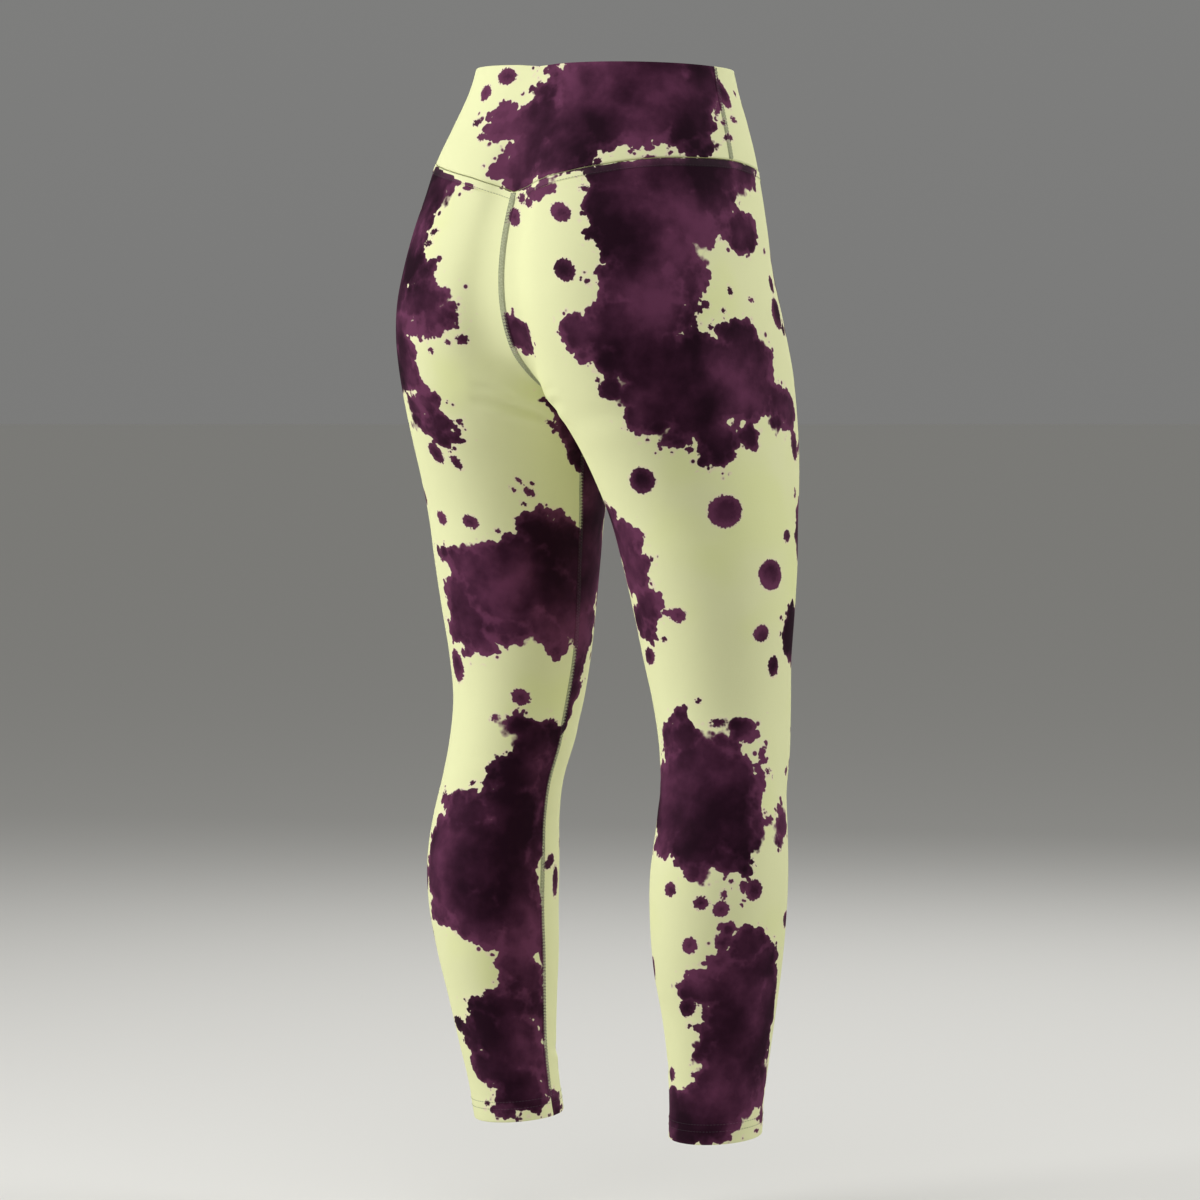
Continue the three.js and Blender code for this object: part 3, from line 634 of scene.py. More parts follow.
def ink_depth(cloth, blots):
    """How far inside the blots each point of the cloth lies, in millimetres."""
    depth = np.full(cloth["arc"].shape, DRY)
    for arc, height, across, down in blots:
        reach = np.hypot((cloth["arc"] - arc) / across, (cloth["height"] - height) / down)
        inside = (1 - reach) * min(across, down) / MM
        depth = FUSE * np.logaddexp(depth / FUSE, np.maximum(inside, DRY) / FUSE)
    return depth


def print_on(name, cloth):
    """Adds the depth of ink from the masses and from the droplets to a cloth."""
    masses = on_cloth(MASSES.get(name, []), cloth)
    droplets = on_cloth(DROPLETS.get(name, []), cloth)
    for splash in SPLASHES.get(name, []):
        more_masses, more_droplets = splashed(Splash(*splash))
        masses += more_masses
        droplets += more_droplets
    cloth["mass"] = ink_depth(cloth, masses)
    cloth["droplet"] = ink_depth(cloth, droplets)


def arc_from(points, column):
    """Distance along each row of a grid from one of its columns."""
    lengths = walked(points, axis=1)
    return lengths - lengths[:, column:column + 1]


def creased(name, cloth):
    """Pushes the cloth in along each soft crease, with a low ridge on the crease's lower side."""
    shift = np.zeros(cloth["arc"].shape)
    for crease in (Crease(*each) for each in CREASES[name]):
        start = np.array([crease.arc_a, crease.height_a]) * MM
        end = np.array([crease.arc_b, crease.height_b]) * MM
        length = np.linalg.norm(end - start)
        (ux, uz), width = (end - start) / length, crease.width * MM
        x, z = cloth["arc"] - start[0], cloth["height"] - start[1]
        along = np.clip((x * ux + z * uz) / length, 0, 1)
        off = z * ux - x * uz - crease.bow * MM * 4 * along * (1 - along)
        fade = np.sin(math.pi * along) ** CREASE_FADE
        trough = np.exp(-((off / width) ** 2))
        ridge = RIDGE_SHARE * np.exp(-((off / width + RIDGE_PLACE) ** 2))
        shift += crease.depth * MM * fade * (ridge - trough)
    cloth["points"] = cloth["points"] + cloth["normals"] * shift[..., None]
    cloth["normals"] = outward(cloth["points"])


# The four cloths

@lru_cache(maxsize=None)
def leg_form():
    """Outer face of the left leg panel, rows down and columns from its front to its back edge."""
    around = np.linspace(0, 1, LEG_COLUMNS)[None, :]
    down = np.linspace(0, 1, HIP_ROWS + 1)[:, None]
    heights = hip_height(*np.broadcast_arrays(around, down))
    heights[0] -= SEAM_GAP / 2
    hip = skin(around, heights)
    hip[:-1, [0, -1], 0] = SEAM_GAP / 2
    hip[-1, [0, -1]] = [[SEAM_GAP / 2, CROTCH_Y + side * SEAM_GAP / 2, CROTCH_Z]
                        for side in (-1, 1)]
    hem_radius = context_sizes().hem_plies / 2
    last = 1 - hem_radius / (CROTCH_Z - ANKLE_Z)
    down = (np.arange(1, LEG_ROWS + 1) * last / LEG_ROWS)[:, None]
    leg = skin(around, leg_height(*np.broadcast_arrays(around, down)))
    leg[:, 0, 1] -= SEAM_GAP / 2
    leg[:, -1, 1] += SEAM_GAP / 2
    points = np.concatenate([hip, leg])
    near = np.exp(-((np.arange(len(points)) - HIP_ROWS) / EVEN_ROWS) ** 2)[1:-1, None, None]
    edge = smoothstep(np.minimum(around[0], 1 - around[0]), 0, EVEN_EDGE)[None, 1:-1, None]
    for _ in range(EVEN_ROUNDS):
        mean = (points[:-2, 1:-1] + points[2:, 1:-1]) / 2
        points[1:-1, 1:-1] += (mean - points[1:-1, 1:-1]) * near * edge * EVEN_SHARE
    return points


def turned_up():
    """Share of the hem's fold in the thickness of each of a leg's rows."""
    rows = HIP_ROWS + 1 + LEG_ROWS
    from_edge = (rows - 1 - np.arange(rows)) / LEG_ROWS * (CROTCH_Z - ANKLE_Z)
    depth = context_sizes().hem_depth
    return 1 - smoothstep(from_edge, depth - HEM_STEP, depth + HEM_STEP)


@lru_cache(maxsize=None)
def printed_leg(side):
    """A leg's outer face with its outward directions, cloth coordinates and print."""
    points = leg_form()
    normals = outward(points)
    for edge in (0, -1):
        normals[:HIP_ROWS, edge] = flattened(normals[:HIP_ROWS, edge], 0)
        normals[HIP_ROWS, edge] = (0, 0, -1)
        normals[HIP_ROWS + 1:, edge] = flattened(normals[HIP_ROWS + 1:, edge], 1)
    cloth = {"arc": arc_from(points, LEG_COLUMNS // 2), "height": points[..., 2].copy()}
    cloth["points"], cloth["normals"] = points, normals
    creased(side + "_leg", cloth)
    for edge in (0, -1):
        cloth["normals"][:, edge] = normals[:, edge]
        cloth["points"][:, edge] = points[:, edge]
    cloth["points"] = cloth["points"] + normals * (HEM_SWELL * turned_up())[:, None, None]
    if side == "right":
        cloth["points"], cloth["normals"] = mirrored(cloth["points"]), mirrored(cloth["normals"])
    print_on(side + "_leg", cloth)
    return cloth


@lru_cache(maxsize=None)
def band_cloth(where):
    """Outer face of a waistband piece, from the wearer's right side seam to the left one."""
    turn = np.linspace(-1, 1, BAND_COLUMNS)[None, :]
    around = 0.5 * np.abs(turn) if where == "front" else 1 - 0.5 * np.abs(turn)
    down = np.linspace(0, 1, BAND_ROWS)[:, None]
    radius = context_sizes().band_plies / 2
    top = waist_top(around) - radius
    bottom = waist_seam(around) + SEAM_GAP / 2 + radius * BAND_REACH
    points = skin(*np.broadcast_arrays(around, top + (bottom - top) * down))
    points[..., 0] *= np.where(turn < 0, -1, 1)
    points[:, BAND_COLUMNS // 2, 0] = 0
    gap = -SEAM_GAP / 2 if where == "front" else SEAM_GAP / 2
    points[:, [0, -1], 1] += gap
    normals = outward(points) * (1 if where == "front" else -1)
    normals[:, [0, -1]] = flattened(normals[:, [0, -1]], 1)
    cloth = {"arc": arc_from(points, BAND_COLUMNS // 2), "height": points[..., 2].copy()}
    cloth["points"], cloth["normals"] = points, normals
    print_on(where + "_waistband", cloth)
    return cloth


def cloth_piece(name, cloth, thickness, folds, material):
    """A closed shell of cloth: its printed outer face, and a coarser plain inner face."""
    outer = cloth["points"]
    inner = outer - cloth["normals"] * thickness
    rows_added = {"top": 0, "bottom": 0}
    for end in folds:
        outer, inner = folded(outer, inner, cloth["normals"], end == "top")
        rows_added[end] = ROLL_ROWS
    coarse = inner[::2, ::2]
    points, faces = closed_shell(outer, coarse)
    plain = np.full(coarse[..., 0].size, DRY)
    values = {}
    for label in INK_KINDS:
        rows = np.pad(cloth[label], ((rows_added["top"], rows_added["bottom"]), (0, 0)), "edge")
        values[label] = np.concatenate([rows.ravel(), plain])
    return new_piece(name, points, faces, material, values)


# Seams and stitching

RAISED = np.array([0.05, 0.45, 0.85, 1.0, 1.0, 0.85, 0.45, 0.05])  # height across a seam
ACROSS = np.array([-1.0, -0.93, -0.72, -0.3, 0.3, 0.72, 0.93, 1.0])  # place across it
BELOW = 0.2 * MM  # how far the underside of a seam sits in the cloth
# Seams' ends, as shares of the way down their edge, and rows between them
RISE_SPAN, INSEAM_SPAN, SIDE_SPAN = (0.003, 0.985, 150), (0.012, 0.972, 300), (0.02, 0.985, 40)
WAIST_COLUMNS = 260  # of the waist seam, from the front middle to the back middle
# The middle seam's loss of width and of height, and the shares of the way down where it sets in
SLIMMER, SLIMMER_SPAN, LOWER, LOWER_SPAN = 0.72, (0.74, 0.97), 0.6, (0.8, 1)
# A thread: its sides, and its rings' shares of the way over the stitch and of its radius. Its
# ends sit a share of the radius in the cloth
THREAD_SIDES, THREAD_RINGS, THREAD_SUNK = 5, ((0.12, 0.8), (0.5, 1.0), (0.88, 0.8)), 0.6


@lru_cache(maxsize=None)
def ink_finder():
    """The cloths' printed points, for a seam to look up the ink beside it."""
    cloths = [printed_leg("left"), printed_leg("right"), band_cloth("front"), band_cloth("back")]
    points = np.concatenate([cloth["points"].reshape(-1, 3) for cloth in cloths])
    ink = np.concatenate([np.stack([cloth[label].ravel() for label in INK_KINDS], 1)
                          for cloth in cloths])
    tree = KDTree(len(points))
    for i, point in enumerate(points):
        tree.insert(point, i)
    tree.balance()
    return tree, ink


def ink_beside(points):
    tree, ink = ink_finder()
    nearest = [tree.find(point)[1] for point in points]
    return dict(zip(INK_KINDS, ink[nearest].T))


def outward_of_seam(points, ring, axis):
    """Outward directions on a seam whose grid runs along it in rows, round an upright axis."""
    if ring:
        padded = np.concatenate([points[-1:], points, points[:1]])
        along = (padded[2:] - padded[:-2]) / 2
    else:
        along = np.gradient(points, axis=0)
    normals = np.cross(along, np.gradient(points, axis=1))
    normals /= np.linalg.norm(normals, axis=2, keepdims=True)
    away = (points - [axis, 0, 0])[..., :2]
    return normals * np.sign((away * normals[..., :2]).sum())


def seam_piece(name, points, height, material, ring=False, fade=1.0, axis=0):
    """A raised seam along the rows of a grid, whose columns run across it.

    Gives the piece, and the grid of its crown with outward directions for the stitches.
    """
    normals = outward_of_seam(points, ring, axis)
    crown = points + normals * RAISED[None, :, None] * height * np.reshape(fade, (-1, 1, 1))
    outer, inner = crown, points - normals * BELOW
    if ring:
        outer, inner = outer.transpose(1, 0, 2), inner.transpose(1, 0, 2)
    shell, faces = closed_shell(outer, inner, ring)
    return new_piece(name, shell, faces, material, ink_beside(shell)), crown, normals


def read_at(places, keys, vectors):
    """Vectors that belong to rising keys, read in between."""
    return np.stack([np.interp(places, keys, vectors[:, k]) for k in range(3)], 1)


def threads(name, runs, radius, rise, material):
    """Short lengths of thread that leave the cloth, arch over it and go back in."""
    starts, ends, up = (np.concatenate(parts) for parts in zip(*runs))
    along = ends - starts
    along /= np.linalg.norm(along, axis=1, keepdims=True)
    aside = np.cross(along, up)
    aside /= np.linalg.norm(aside, axis=1, keepdims=True)
    up = np.cross(aside, along)
    sides = THREAD_SIDES
    turns = np.linspace(0, math.tau, sides, endpoint=False)
    rings = [starts - up * radius * THREAD_SUNK]
    for share, thick in THREAD_RINGS:
        centre = starts + (ends - starts) * share + up * rise * 4 * share * (1 - share)
        for turn in turns:
            rings.append(centre + (aside * math.cos(turn) + up * math.sin(turn)) * radius * thick)
    rings.append(ends - up * radius * THREAD_SUNK)
    points = np.stack(rings, 1)
    ink = {label: np.repeat(depths, points.shape[1])
           for label, depths in ink_beside(starts).items()}
    tip = 1 + 3 * sides
    pattern = []
    for k in range(sides):
        j = (k + 1) % sides
        pattern.append([0, 1 + j, 1 + k, 1 + k])
        pattern += [[1 + r * sides + k, 1 + r * sides + j, 1 + (r + 1) * sides + j,
                     1 + (r + 1) * sides + k] for r in (0, 1)]
        pattern.append([tip, 1 + 2 * sides + k, 1 + 2 * sides + j, 1 + 2 * sides + j])
    base = np.arange(len(starts))[:, None, None] * (tip + 1)
    faces = (np.array(pattern)[None] + base).reshape(-1, 4).tolist()
    faces = [face[:3] if face[2] == face[3] else face for face in faces]
    return new_piece(name, points.reshape(-1, 3), faces, material, ink)


def stitch_run(path, normals, pitch, share):
    """Stitches end to end along a line, each a share of the pitch long."""
    lengths = walked(path)
    at = np.arange(0, lengths[-1], pitch)
    points, ups = read_at(at, lengths, path), read_at(at, lengths, normals)
    starts, ends = points[:-1], points[:-1] + (points[1:] - points[:-1]) * share
    return starts, ends, ups[:-1]


def cover_run(left, right, normals, pitch):
    """Cover threads that cross from one line of stitches to the other and back."""
    count = max(int(walked(left)[-1] / pitch), 2)
    places, keys = np.linspace(0, len(left) - 1, 2 * count + 1), np.arange(len(left))
    a, b, up = (read_at(places, keys, line) for line in (left, right, normals))
    starts = np.concatenate([a[:-1:2], b[1::2]])
    ends = np.concatenate([b[1::2], a[2::2]])
    return starts, ends, np.concatenate([up[:-1:2], up[1::2]])


def rise_grid(behind, width):
    """Points across the middle seam, from under the waist seam down towards the crotch.

    Towards the crotch it gets slimmer, and lower by a share for each row, given with them.
    """
    down = np.linspace(*RISE_SPAN)
    slim = 1 - SLIMMER * smoothstep(down, *SLIMMER_SPAN)
    offsets = ACROSS[None, :] * width / 2 * slim[:, None]
    edge_z = rise_z(behind, down)[:, None]
    around = beside(np.abs(offsets), np.broadcast_to(edge_z, offsets.shape), 3 if behind else 0)
    points = skin(around, hip_height(around, down[:, None]))
    points[..., 0] *= np.sign(offsets)
    return points, 1 - LOWER * smoothstep(down, *LOWER_SPAN)


def upright_grid(width, level, quarters, height):
    """Points across an upright seam between two quarters, with the heights of places round it."""
    columns = []
    for offset in ACROSS * width / 2:
        around = beside(abs(offset), level, quarters[int(offset > 0)])
        columns.append(skin(around, height(around)))
    return np.concatenate(columns, axis=1)


def inseam_grid(width):
    """Points across the left leg's inside seam, from under the crotch down to the hem."""
    down = np.linspace(*INSEAM_SPAN)[:, None]
    level = CROTCH_Z + (ANKLE_Z - CROTCH_Z) * down
    return upright_grid(width, level, (0, 3), lambda around: leg_height(around, down))


def side_grid(width):
    """Points across the waistband's left side seam, from its top down."""
    down = np.linspace(*SIDE_SPAN)[:, None]
    z = waist_top(0.5) + (waist_seam(0.5) - waist_top(0.5)) * down
    return upright_grid(width, z, (1, 2), lambda around: z)


def waist_grid(width):
    """Points across the waist seam, all the way round and from the waistband down."""
    around = np.linspace(0, 1, WAIST_COLUMNS)[:, None]
    drop = SEAM_GAP + (ACROSS + 1) / 2 * width
    left = skin(around, waist_seam(around) - drop[None, :])
    left[[0, -1], :, 0] = 0
    return np.concatenate([left, mirrored(left)[-2:0:-1]])


# Materials

class Recipe:
    """A material's nodes, each added with its settings and inputs in one call."""

    def __init__(self, name):
        self.material = bpy.data.materials.get(name) or bpy.data.materials.new(name)
        self.material.use_nodes = True
        self.tree = self.material.node_tree
        self.tree.nodes.clear()
        self.shader = self.tree.nodes.new("ShaderNodeBsdfPrincipled")
        output = self.tree.nodes.new("ShaderNodeOutputMaterial")
        self.tree.links.new(self.shader.outputs[0], output.inputs[0])

    def put(self, socket, value):
        """Sets an input: from a node's output, to a colour of the settings by name, or plainly."""
        if isinstance(value, bpy.types.NodeSocket):
            self.tree.links.new(value, socket)
        elif isinstance(value, str):
            socket.default_value = getattr(context_colours(), value)[:]
        else:
            socket.default_value = value

    def node(self, kind, inputs=(), output=0, **settings):
        node = self.tree.nodes.new("ShaderNode" + kind)
        for key, value in settings.items():
            setattr(node, key, value)
        for key, value in dict(inputs).items():
            self.put(node.inputs[key], value)
        return node.outputs[output]

    def finish(self, **inputs):
        for key, value in inputs.items():
            self.put(self.shader.inputs[key.replace("_", " ").title().replace("Ior", "IOR")], value)
        return self.material

    def value(self, operation, *values):
        return self.node("Math", dict(enumerate(values)), operation=operation)

    def place(self):
        """Place on the object, in metres."""
        return self.node("TexCoord", output=3)

    def noise(self, scale, detail=2.0, roughness=0.5):
        return self.node("TexNoise", {"Vector": self.place(), "Scale": scale, "Detail": detail,
                                      "Roughness": roughness})

    def cells(self, scale, output=0):
        """Distance to the nearest of many scattered points, or that point's own colour."""
        return self.node("TexVoronoi", {"Vector": self.place(), "Scale": scale}, output)

    def spread(self, value, factor, offset):
        """The value times a factor, plus an offset."""
        return self.value("MULTIPLY_ADD", value, factor, offset)

    def step(self, value, low, high, to=(0.0, 1.0)):
        return self.node("MapRange", {0: value, 1: low, 2: high, 3: to[0], 4: to[1]},
                         interpolation_type="SMOOTHSTEP")

    def blend(self, factor, first, second):
        return self.node("Mix", {0: factor, 6: first, 7: second}, output=2, data_type="RGBA")

    def mottled(self, first, second, noise, low, high, share=1.0):
        """One colour, with a share of another where the noise is high."""
        return self.blend(self.step(noise, low, high, (0.0, share)), first, second)

    def bump(self, height, distance, strength):
        return self.node("Bump", {"Height": height, "Distance": distance, "Strength": strength})


def ink_edges(recipe):
    """Depth of ink in millimetres, with scalloped edges, and how far its edge is washed out."""
    mass, droplet = (recipe.node("Attribute", attribute_name=kind, output=2)
                     for kind in INK_KINDS)
    beside = recipe.step(mass, -9.0, -4.0)
    ragged = recipe.spread(recipe.noise(70.0), 10.0, -3.9)
    lobes = recipe.spread(recipe.cells(105.0), -7.5, 4.1)
    teeth = recipe.spread(recipe.cells(270.0), -3.2, 1.8)
    for part in (ragged, lobes, teeth):
        mass = recipe.value("ADD", mass, part)
    # Fine spray outside the masses: dots of many sizes, none more than 5.5 mm from them
    chance = recipe.node("SeparateColor", {"Color": recipe.cells(150.0, output=1)})
    size = recipe.step(chance, 0.62, 1.0, (-0.1, 0.34))
    dot = recipe.value("MULTIPLY", recipe.value("SUBTRACT", size, recipe.cells(150.0)), 6.0)
    dot = recipe.value("MINIMUM", dot, recipe.value("ADD", mass, 5.5))
    for part in (recipe.spread(recipe.noise(330.0, 2.0, 0.6), 3.2, -1.2),
                 recipe.spread(recipe.cells(420.0), -2.2, 1.0)):
        droplet = recipe.value("ADD", droplet, part)
    depth = recipe.value("MAXIMUM", recipe.value("MAXIMUM", mass, droplet), dot)
    soft = recipe.step(recipe.noise(24.0), 0.56, 0.7, (0.0, 2.6))
    return depth, recipe.spread(soft, beside, 0.35)


def inked(recipe, plain):
    """The plain colour with ink on it: thin and violet at places, dark where it pooled."""
    depth, washed = ink_edges(recipe)
    pooled = recipe.spread(recipe.noise(17.0, 5.0, 0.52), 2.5, -0.92)
    pooled = recipe.value("ADD", pooled, recipe.step(depth, 0.0, 8.0, (-0.22, 0.14)))
    ink = recipe.mottled("ink_thin", "ink", pooled, -0.12, 0.56)
    ink = recipe.mottled(ink, "ink_pooled", pooled, 0.4, 0.85)
    stained = recipe.mottled(plain, "halo", depth, -1.8, -0.2, 0.45)
    dry = recipe.value("MULTIPLY", washed, -1.0)
    return recipe.blend(recipe.step(depth, dry, washed), stained, ink)


def printed(recipe, plain, grain, relief, strength, **finish):
    """A cloth or thread of a plain colour with its ink, and with a grain so high."""
    return recipe.finish(base_color=inked(recipe, plain),
                         normal=recipe.bump(grain, relief, strength), **finish)


def jersey_material():
    """Printed stretch jersey: fine knit, rough and nearly matt, and faint yellow-green stains."""
    recipe = Recipe("printed_jersey")
    plain = recipe.mottled("cloth", "cloth_stain", recipe.noise(9.0), 0.56, 0.74, 0.5)
    plain = recipe.mottled(plain, "cloth_shade", recipe.noise(1500.0, 1.0), 0.3, 0.7, 0.12)
    knit = recipe.node("TexWave", {"Vector": recipe.place(), "Scale": 300.0, "Distortion": 1.5,
                                   "Detail": 1.0}, output=1, bands_direction="Z")
    grain = recipe.spread(knit, 0.22, recipe.noise(900.0))
    return printed(recipe, plain, grain, 0.12 * MM, 0.7, roughness=0.78, specular_ior_level=0.06)


def seam_material():
    """Flatlock seam: thread over the cloth, so greyer than it, with the ink of the cloth."""
    recipe = Recipe("flatlock_seam")
    plain = recipe.mottled("seam", "thread", recipe.noise(700.0), 0.35, 0.65, 0.4)
    return printed(recipe, plain, recipe.noise(1100.0), 0.2 * MM, 0.8, roughness=0.85,
                   specular_ior_level=0.2)


def edge_material():
    """The stitched edge of the legs under the waistband: the legs' own cloth, drawn tight."""
    recipe = Recipe("stitched_edge")
    plain = recipe.mottled("cloth", "cloth_shade", recipe.noise(1200.0, 1.0), 0.3, 0.7, 0.15)
    return printed(recipe, plain, recipe.noise(900.0), 0.15 * MM, 0.7, roughness=0.8,
                   specular_ior_level=0.2)


def thread_material(name, colour, shade):
    """Fine spun thread, with the ink of the cloth that it is sewn to."""
    recipe = Recipe(name)
    plain = recipe.mottled(colour, shade, recipe.noise(2500.0), 0.35, 0.65)
    return printed(recipe, plain, recipe.noise(4000.0, 1.0), 0.05 * MM, 0.6, roughness=0.8)


def studio_material():
    recipe = Recipe("studio_paper")
    grain = recipe.bump(recipe.noise(60.0, 3.0), 0.5 * MM, 0.2)
    return recipe.finish(base_color="floor", roughness=0.9, normal=grain, specular_ior_level=0.1)


# Settings

def colour_from(code):
    """Linear colour, with opacity, of a colour written as six hexadecimal digits."""
    parts = [int(code[i:i + 2], 16) / 255 for i in (0, 2, 4)]
    return [part / 12.92 if part <= 0.04045 else ((part + 0.055) / 1.055) ** 2.4
            for part in parts] + [1.0]


def colour_property(name, description, code):
    return bpy.props.FloatVectorProperty(name=name, description=description, subtype="COLOR",
                                         size=4, min=0, max=1, default=colour_from(code))


def length_property(name, description, millimetres):
    return bpy.props.FloatProperty(name=name, description=description, subtype="DISTANCE",
                                   unit="LENGTH", min=0.05 * MM, default=millimetres * MM)


class LeggingsSizes(bpy.types.PropertyGroup):
    """Thicknesses of the cloth, and the seams' and stitches' sizes."""

    jersey: length_property("Jersey", "One ply of the legs", 1.2)
    band_plies: length_property("Waistband", "Two plies of the waistband", 2.0)
    hem_plies: length_property("Hem", "Leg and turned-up hem together", 2.4)
    hem_depth: length_property("Hem depth", "Cloth turned up inside the ankle", 18)
    hem_upper_line: length_property("Upper hem line", "Upper stitches above the edge", 16.5)
    hem_lower_line: length_property("Lower hem line", "Lower stitches above the edge", 10.5)
    seam_width: length_property("Seam width", "Flatlock seam, across", 6.6)
    inseam_width: length_property("Inseam width", "Flatlock seam inside the leg, across", 5.0)
    seam_height: length_property("Seam height", "Flatlock seam, above the cloth", 0.7)
    waist_seam_width: length_property("Waist seam", "Stitched edge below the waistband", 7.0)
    stitch_pitch: length_property("Stitch", "Length of one stitch with its gap", 2.8)
    thread_radius: length_property("Thread", "Radius of the thread", 0.3)


class LeggingsColours(bpy.types.PropertyGroup):
    """Colours of the cloth, the print, the threads and the studio."""

    cloth: colour_property("Cloth", "Pale lime jersey", "E1E3B1")
    cloth_stain: colour_property("Stain", "Faint yellow-green stains", "DCE29C")
    cloth_shade: colour_property("Knit shade", "Between the knit's stitches", "D2D7A6")
    ink: colour_property("Ink", "The print's main purple", "38182C")
    ink_thin: colour_property("Thin ink", "Where the ink ran thin", "643450")
    ink_pooled: colour_property("Pooled ink", "Where the ink pooled", "210A19")
    halo: colour_property("Halo", "Tinge round the ink", "E6CFC4")
    seam: colour_property("Seam", "Thread over the cloth", "B9BC9A")
    thread: colour_property("Thread", "Seams' and hems' thread", "7F8567")
    # Pale thread along the waist seam, whiter than the cloth: partly the thread's own colour,
    # partly a painted highlight along the seam's top edge
    thread_light: colour_property("Light thread", "Thread along the waistband", "EDF0CE")
    floor: colour_property("Floor", "Pale studio floor", "D6D5D1")


def context_sizes():
    return bpy.context.scene.leggings_sizes


def context_colours():
    return bpy.context.scene.leggings_colours


# Operators

class LEGGINGS_OT_stage(bpy.types.Operator):
    """Sets up the pale studio, its soft lights and the photograph's camera"""

    bl_idname = "leggings.stage"
    bl_label = "Studio"

    FLOOR_Z, FLOOR_SIDES = -1.0, 96
    FLOOR_RINGS = (0.5, 2.0, 8.0, 60.0)  # radii of the rings of faces
    AIM = (0, 0, -0.45)  # middle of the garment, where the lamps point
    # Name, place to the camera's right, towards it and up, size of the lamp, and watts
    LAMPS = (("left_key", -2.5, 0.6, 0.7, 1.6, 63), ("right_key", 2.5, 0.4, 1.1, 1.6, 41),
             ("top_key", -0.3, 1.8, 2.3, 1.4, 15), ("far_fill", 0.6, -2.4, 1.4, 2.0, 34))
    SURROUNDINGS = (1, 1, 0.98, 1)
    NEAR_HORIZON, OVERHEAD = 0.2, 0.33  # strength of the surroundings' light

    def execute(self, context):
        self.add_floor()
        self.add_lights(context)
        camera = bpy.data.objects.new("camera", bpy.data.cameras.new("camera"))
        camera.data.lens, camera.data.sensor_width = LENS, SENSOR
        camera.data.clip_end = self.FLOOR_RINGS[-1]
        camera.location = EYE
        camera.rotation_euler = Vector(AHEAD).to_track_quat("-Z", "Y").to_euler()
        context.collection.objects.link(camera)
        context.scene.camera = camera
        context.scene.view_settings.view_transform = "Standard"
        return {"FINISHED"}

    def add_floor(self):
        """A round floor that reaches the horizon, where it meets the pale surroundings."""
        turns = np.linspace(0, math.tau, self.FLOOR_SIDES, endpoint=False)
        ring = np.stack([np.cos(turns), np.sin(turns), np.zeros_like(turns)], 1)
        points = np.concatenate([ring * radius for radius in self.FLOOR_RINGS])
        points[:, 2] = self.FLOOR_Z
        numbers = np.arange(len(points)).reshape(-1, self.FLOOR_SIDES)
        faces = grid_faces(numbers, ring=True) + [numbers[0].tolist()]
        new_piece("studio", points, faces, studio_material())

    def add_lights(self, context):
        for name, side, toward, height, size, watts in self.LAMPS:
            light = bpy.data.lights.new(name, "AREA")
            light.size, light.energy = size, watts
            lamp = bpy.data.objects.new(name, light)
            lamp.location = RIGHT * side + TOWARD * toward + np.array([0, 0, height])
            aim = Vector(self.AIM) - lamp.location
            lamp.rotation_euler = aim.to_track_quat("-Z", "Y").to_euler()
            lamp.visible_camera = False
            context.collection.objects.link(lamp)
        world = bpy.data.worlds.new("studio")
        world.use_nodes = True
        nodes, links = world.node_tree.nodes, world.node_tree.links
        upward, brighter = (nodes.new("ShaderNode" + kind) for kind in ("SeparateXYZ", "MapRange"))
        links.new(nodes.new("ShaderNodeTexCoord").outputs["Generated"], upward.inputs[0])
        links.new(upward.outputs["Z"], brighter.inputs[0])
        brighter.inputs[3].default_value = self.NEAR_HORIZON
        brighter.inputs[4].default_value = self.OVERHEAD
        nodes["Background"].inputs[0].default_value = self.SURROUNDINGS
        links.new(brighter.outputs[0], nodes["Background"].inputs[1])
        context.scene.world = world


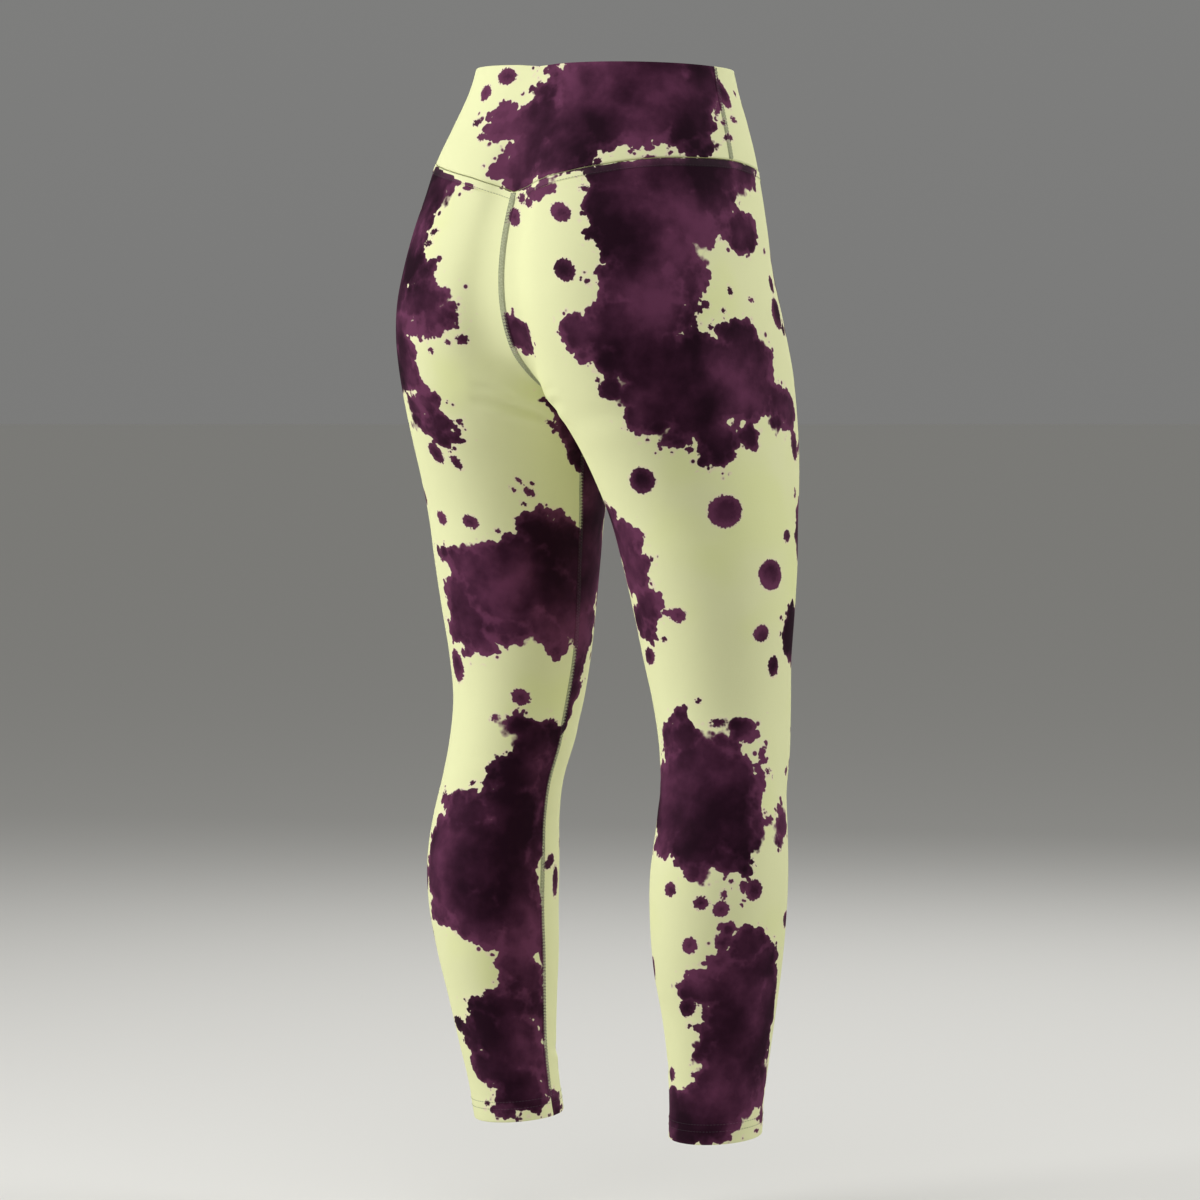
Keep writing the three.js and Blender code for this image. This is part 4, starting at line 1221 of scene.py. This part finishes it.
class LEGGINGS_OT_seams(bpy.types.Operator):
    """Sews the middle seam, the inside leg seams, the waist seam and the waistband's side seams"""

    bl_idname = "leggings.seams"
    bl_label = "Seams"

    LINES = (2, 5)  # columns of a seam's grid that carry the two lines of stitches
    RISE, EDGE_RISE = 0.25 * MM, 0.2 * MM  # of a stitch over the seam, and over the edge
    STITCH, EDGE_STITCH = 0.78, 0.86  # the same stitches' shares of their pitch
    EDGE_HEIGHT = 0.4 * MM

    def execute(self, context):
        sizes = context_sizes()
        self.seam = seam_material()
        self.thread = thread_material("seam_thread", "thread", "seam")
        # Pale thread that is whiter than the cloth, so it also carries a painted highlight along
        # the waist seam's top edge
        self.light = thread_material("light_thread", "thread_light", "cloth")
        for where, behind in (("front", False), ("back", True)):
            grid, fade = rise_grid(behind, sizes.seam_width)
            self.sew(f"{where}_rise_seam", grid, f"rise_seam_{where}", fade)
        grid = inseam_grid(sizes.inseam_width)
        self.sew("left_inseam", grid, "inseam_left", axis=ANKLE_X)
        self.sew("right_inseam", mirrored(grid), "inseam_right", axis=-ANKLE_X)
        grid = side_grid(sizes.inseam_width)
        self.sew("left_side_seam", grid, "side_seam_left")
        self.sew("right_side_seam", mirrored(grid), "side_seam_right")
        self.sew_waist(sizes, edge_material())
        return {"FINISHED"}

    def sew(self, name, grid, node, fade=1.0, axis=0):
        """One flatlock seam: the raised seam, two lines of stitches and the cover thread."""
        sizes = context_sizes()
        piece, crown, normals = seam_piece(name, grid, sizes.seam_height, self.seam, fade=fade,
                                           axis=axis)
        sewn_on(piece, "stitching", node)
        pitch, (left, right) = sizes.stitch_pitch, self.LINES
        runs = [stitch_run(crown[:, k], normals[:, k], pitch, self.STITCH) for k in self.LINES]
        runs.append(cover_run(crown[:, left], crown[:, right], normals[:, left + 1], pitch))
        sewn_on(threads(name + "_thread", runs, sizes.thread_radius, self.RISE, self.thread),
                "stitching")

    def sew_waist(self, sizes, material):
        """The legs' stitched edge below the waistband: pale thread along the top, whiter than the
        cloth as a painted highlight, and grey-green thread below.
        """
        grid = waist_grid(sizes.waist_seam_width)
        piece, crown, normals = seam_piece("waist_seam", grid, self.EDGE_HEIGHT, material,
                                           ring=True)
        sewn_on(piece, "stitching", "waist_seam")
        # The upper line's thread is pale, and whiter than the cloth as a painted highlight
        for name, k, thread in (("waist_seam_light_thread", 1, self.light),
                                ("waist_seam_thread", 5, self.thread)):
            run = stitch_run(closed(crown[:, k]), closed(normals[:, k]), sizes.stitch_pitch,
                             self.EDGE_STITCH)
            sewn_on(threads(name, [run], sizes.thread_radius, self.EDGE_RISE, thread),
                    "stitching")


class LEGGINGS_OT_hems(bpy.types.Operator):
    """Sews the two lines of cover stitches round each ankle"""

    bl_idname = "leggings.hems"
    bl_label = "Hem stitches"

    STITCH, RISE = 0.8, 0.15 * MM  # a stitch's share of its pitch, and its rise over the cloth

    def execute(self, context):
        sizes = context_sizes()
        thread = thread_material("hem_thread", "thread", "seam")
        for side in ("left", "right"):
            cloth = printed_leg(side)
            runs = []
            for above in (sizes.hem_lower_line, sizes.hem_upper_line):
                row = len(cloth["points"]) - 1 - above / abs(ANKLE_Z - CROTCH_Z) * LEG_ROWS
                path, up = (closed(self.between(cloth[label], row))
                            for label in ("points", "normals"))
                runs.append(stitch_run(path, up, sizes.stitch_pitch, self.STITCH))
            sewn_on(threads(f"{side}_hem_stitches", runs, sizes.thread_radius, self.RISE, thread),
                    "stitching")
        return {"FINISHED"}

    def between(self, grid, row):
        """The grid's points at a row that may lie between two."""
        low = int(row)
        return grid[low] + (grid[low + 1] - grid[low]) * (row - low)


class LEGGINGS_OT_waistband(bpy.types.Operator):
    """Makes the front and back of the waistband, two plies folded over at the top"""

    bl_idname = "leggings.waistband"
    bl_label = "Waistband"

    # Cut of the ply that shows: width, height and area of each piece, metres
    CUTS = {"front": (0.39, 0.092, 0.0305), "back": (0.41, 0.108, 0.0325)}

    def execute(self, context):
        material, thickness = jersey_material(), context_sizes().band_plies
        for where, (width, height, area) in self.CUTS.items():
            cloth = band_cloth(where)
            piece = cloth_piece(f"{where}_waistband", cloth, thickness, ["top"], material)
            sewn_on(piece, "waistband", f"waistband_{where}")
        return {"FINISHED"}


class LEGGINGS_OT_legs(bpy.types.Operator):
    """Makes the two leg panels, each one piece of cloth from the waist to a turned-up hem"""

    bl_idname = "leggings.legs"
    bl_label = "Legs"

    CUT = (0.53, 0.81, 0.285)  # width, length and area of a panel, metres

    def execute(self, context):
        sizes, material = context_sizes(), jersey_material()
        thickness = sizes.jersey + (sizes.hem_plies - sizes.jersey) * turned_up()[:, None, None]
        for side in ("left", "right"):
            cloth = printed_leg(side)
            piece = cloth_piece(f"{side}_leg", cloth, thickness, ["bottom"], material)
            sewn_on(piece, "jersey", f"leg_{side}")
        return {"FINISHED"}


class LEGGINGS_PT_panel(bpy.types.Panel):
    """Lists the steps that make the leggings, with their sizes and colours"""

    bl_label = "Leggings"
    bl_idname = "LEGGINGS_PT_panel"
    bl_space_type = "VIEW_3D"
    bl_region_type = "UI"
    bl_category = "Leggings"

    def draw(self, context):
        for operator in OPERATORS:
            self.layout.operator(operator.bl_idname)
        for group in (context.scene.leggings_sizes, context.scene.leggings_colours):
            column = self.layout.column()
            for name in group.bl_rna.properties.keys():
                if name not in ("rna_type", "name"):
                    column.prop(group, name)


OPERATORS = (LEGGINGS_OT_stage, LEGGINGS_OT_waistband, LEGGINGS_OT_seams, LEGGINGS_OT_hems,
             LEGGINGS_OT_legs)
CLASSES = (LeggingsSizes, LeggingsColours, *OPERATORS, LEGGINGS_PT_panel)


def register():
    for each in CLASSES:
        bpy.utils.register_class(each)
    bpy.types.Scene.leggings_sizes = bpy.props.PointerProperty(type=LeggingsSizes)
    bpy.types.Scene.leggings_colours = bpy.props.PointerProperty(type=LeggingsColours)


def unregister():
    del bpy.types.Scene.leggings_sizes
    del bpy.types.Scene.leggings_colours
    for each in reversed(CLASSES):
        bpy.utils.unregister_class(each)


def main():
    register()
    bpy.ops.leggings.stage()
    bpy.ops.leggings.waistband()
    bpy.ops.leggings.seams()
    bpy.ops.leggings.hems()
    bpy.ops.leggings.legs()


if __name__ == "__main__":
    main()
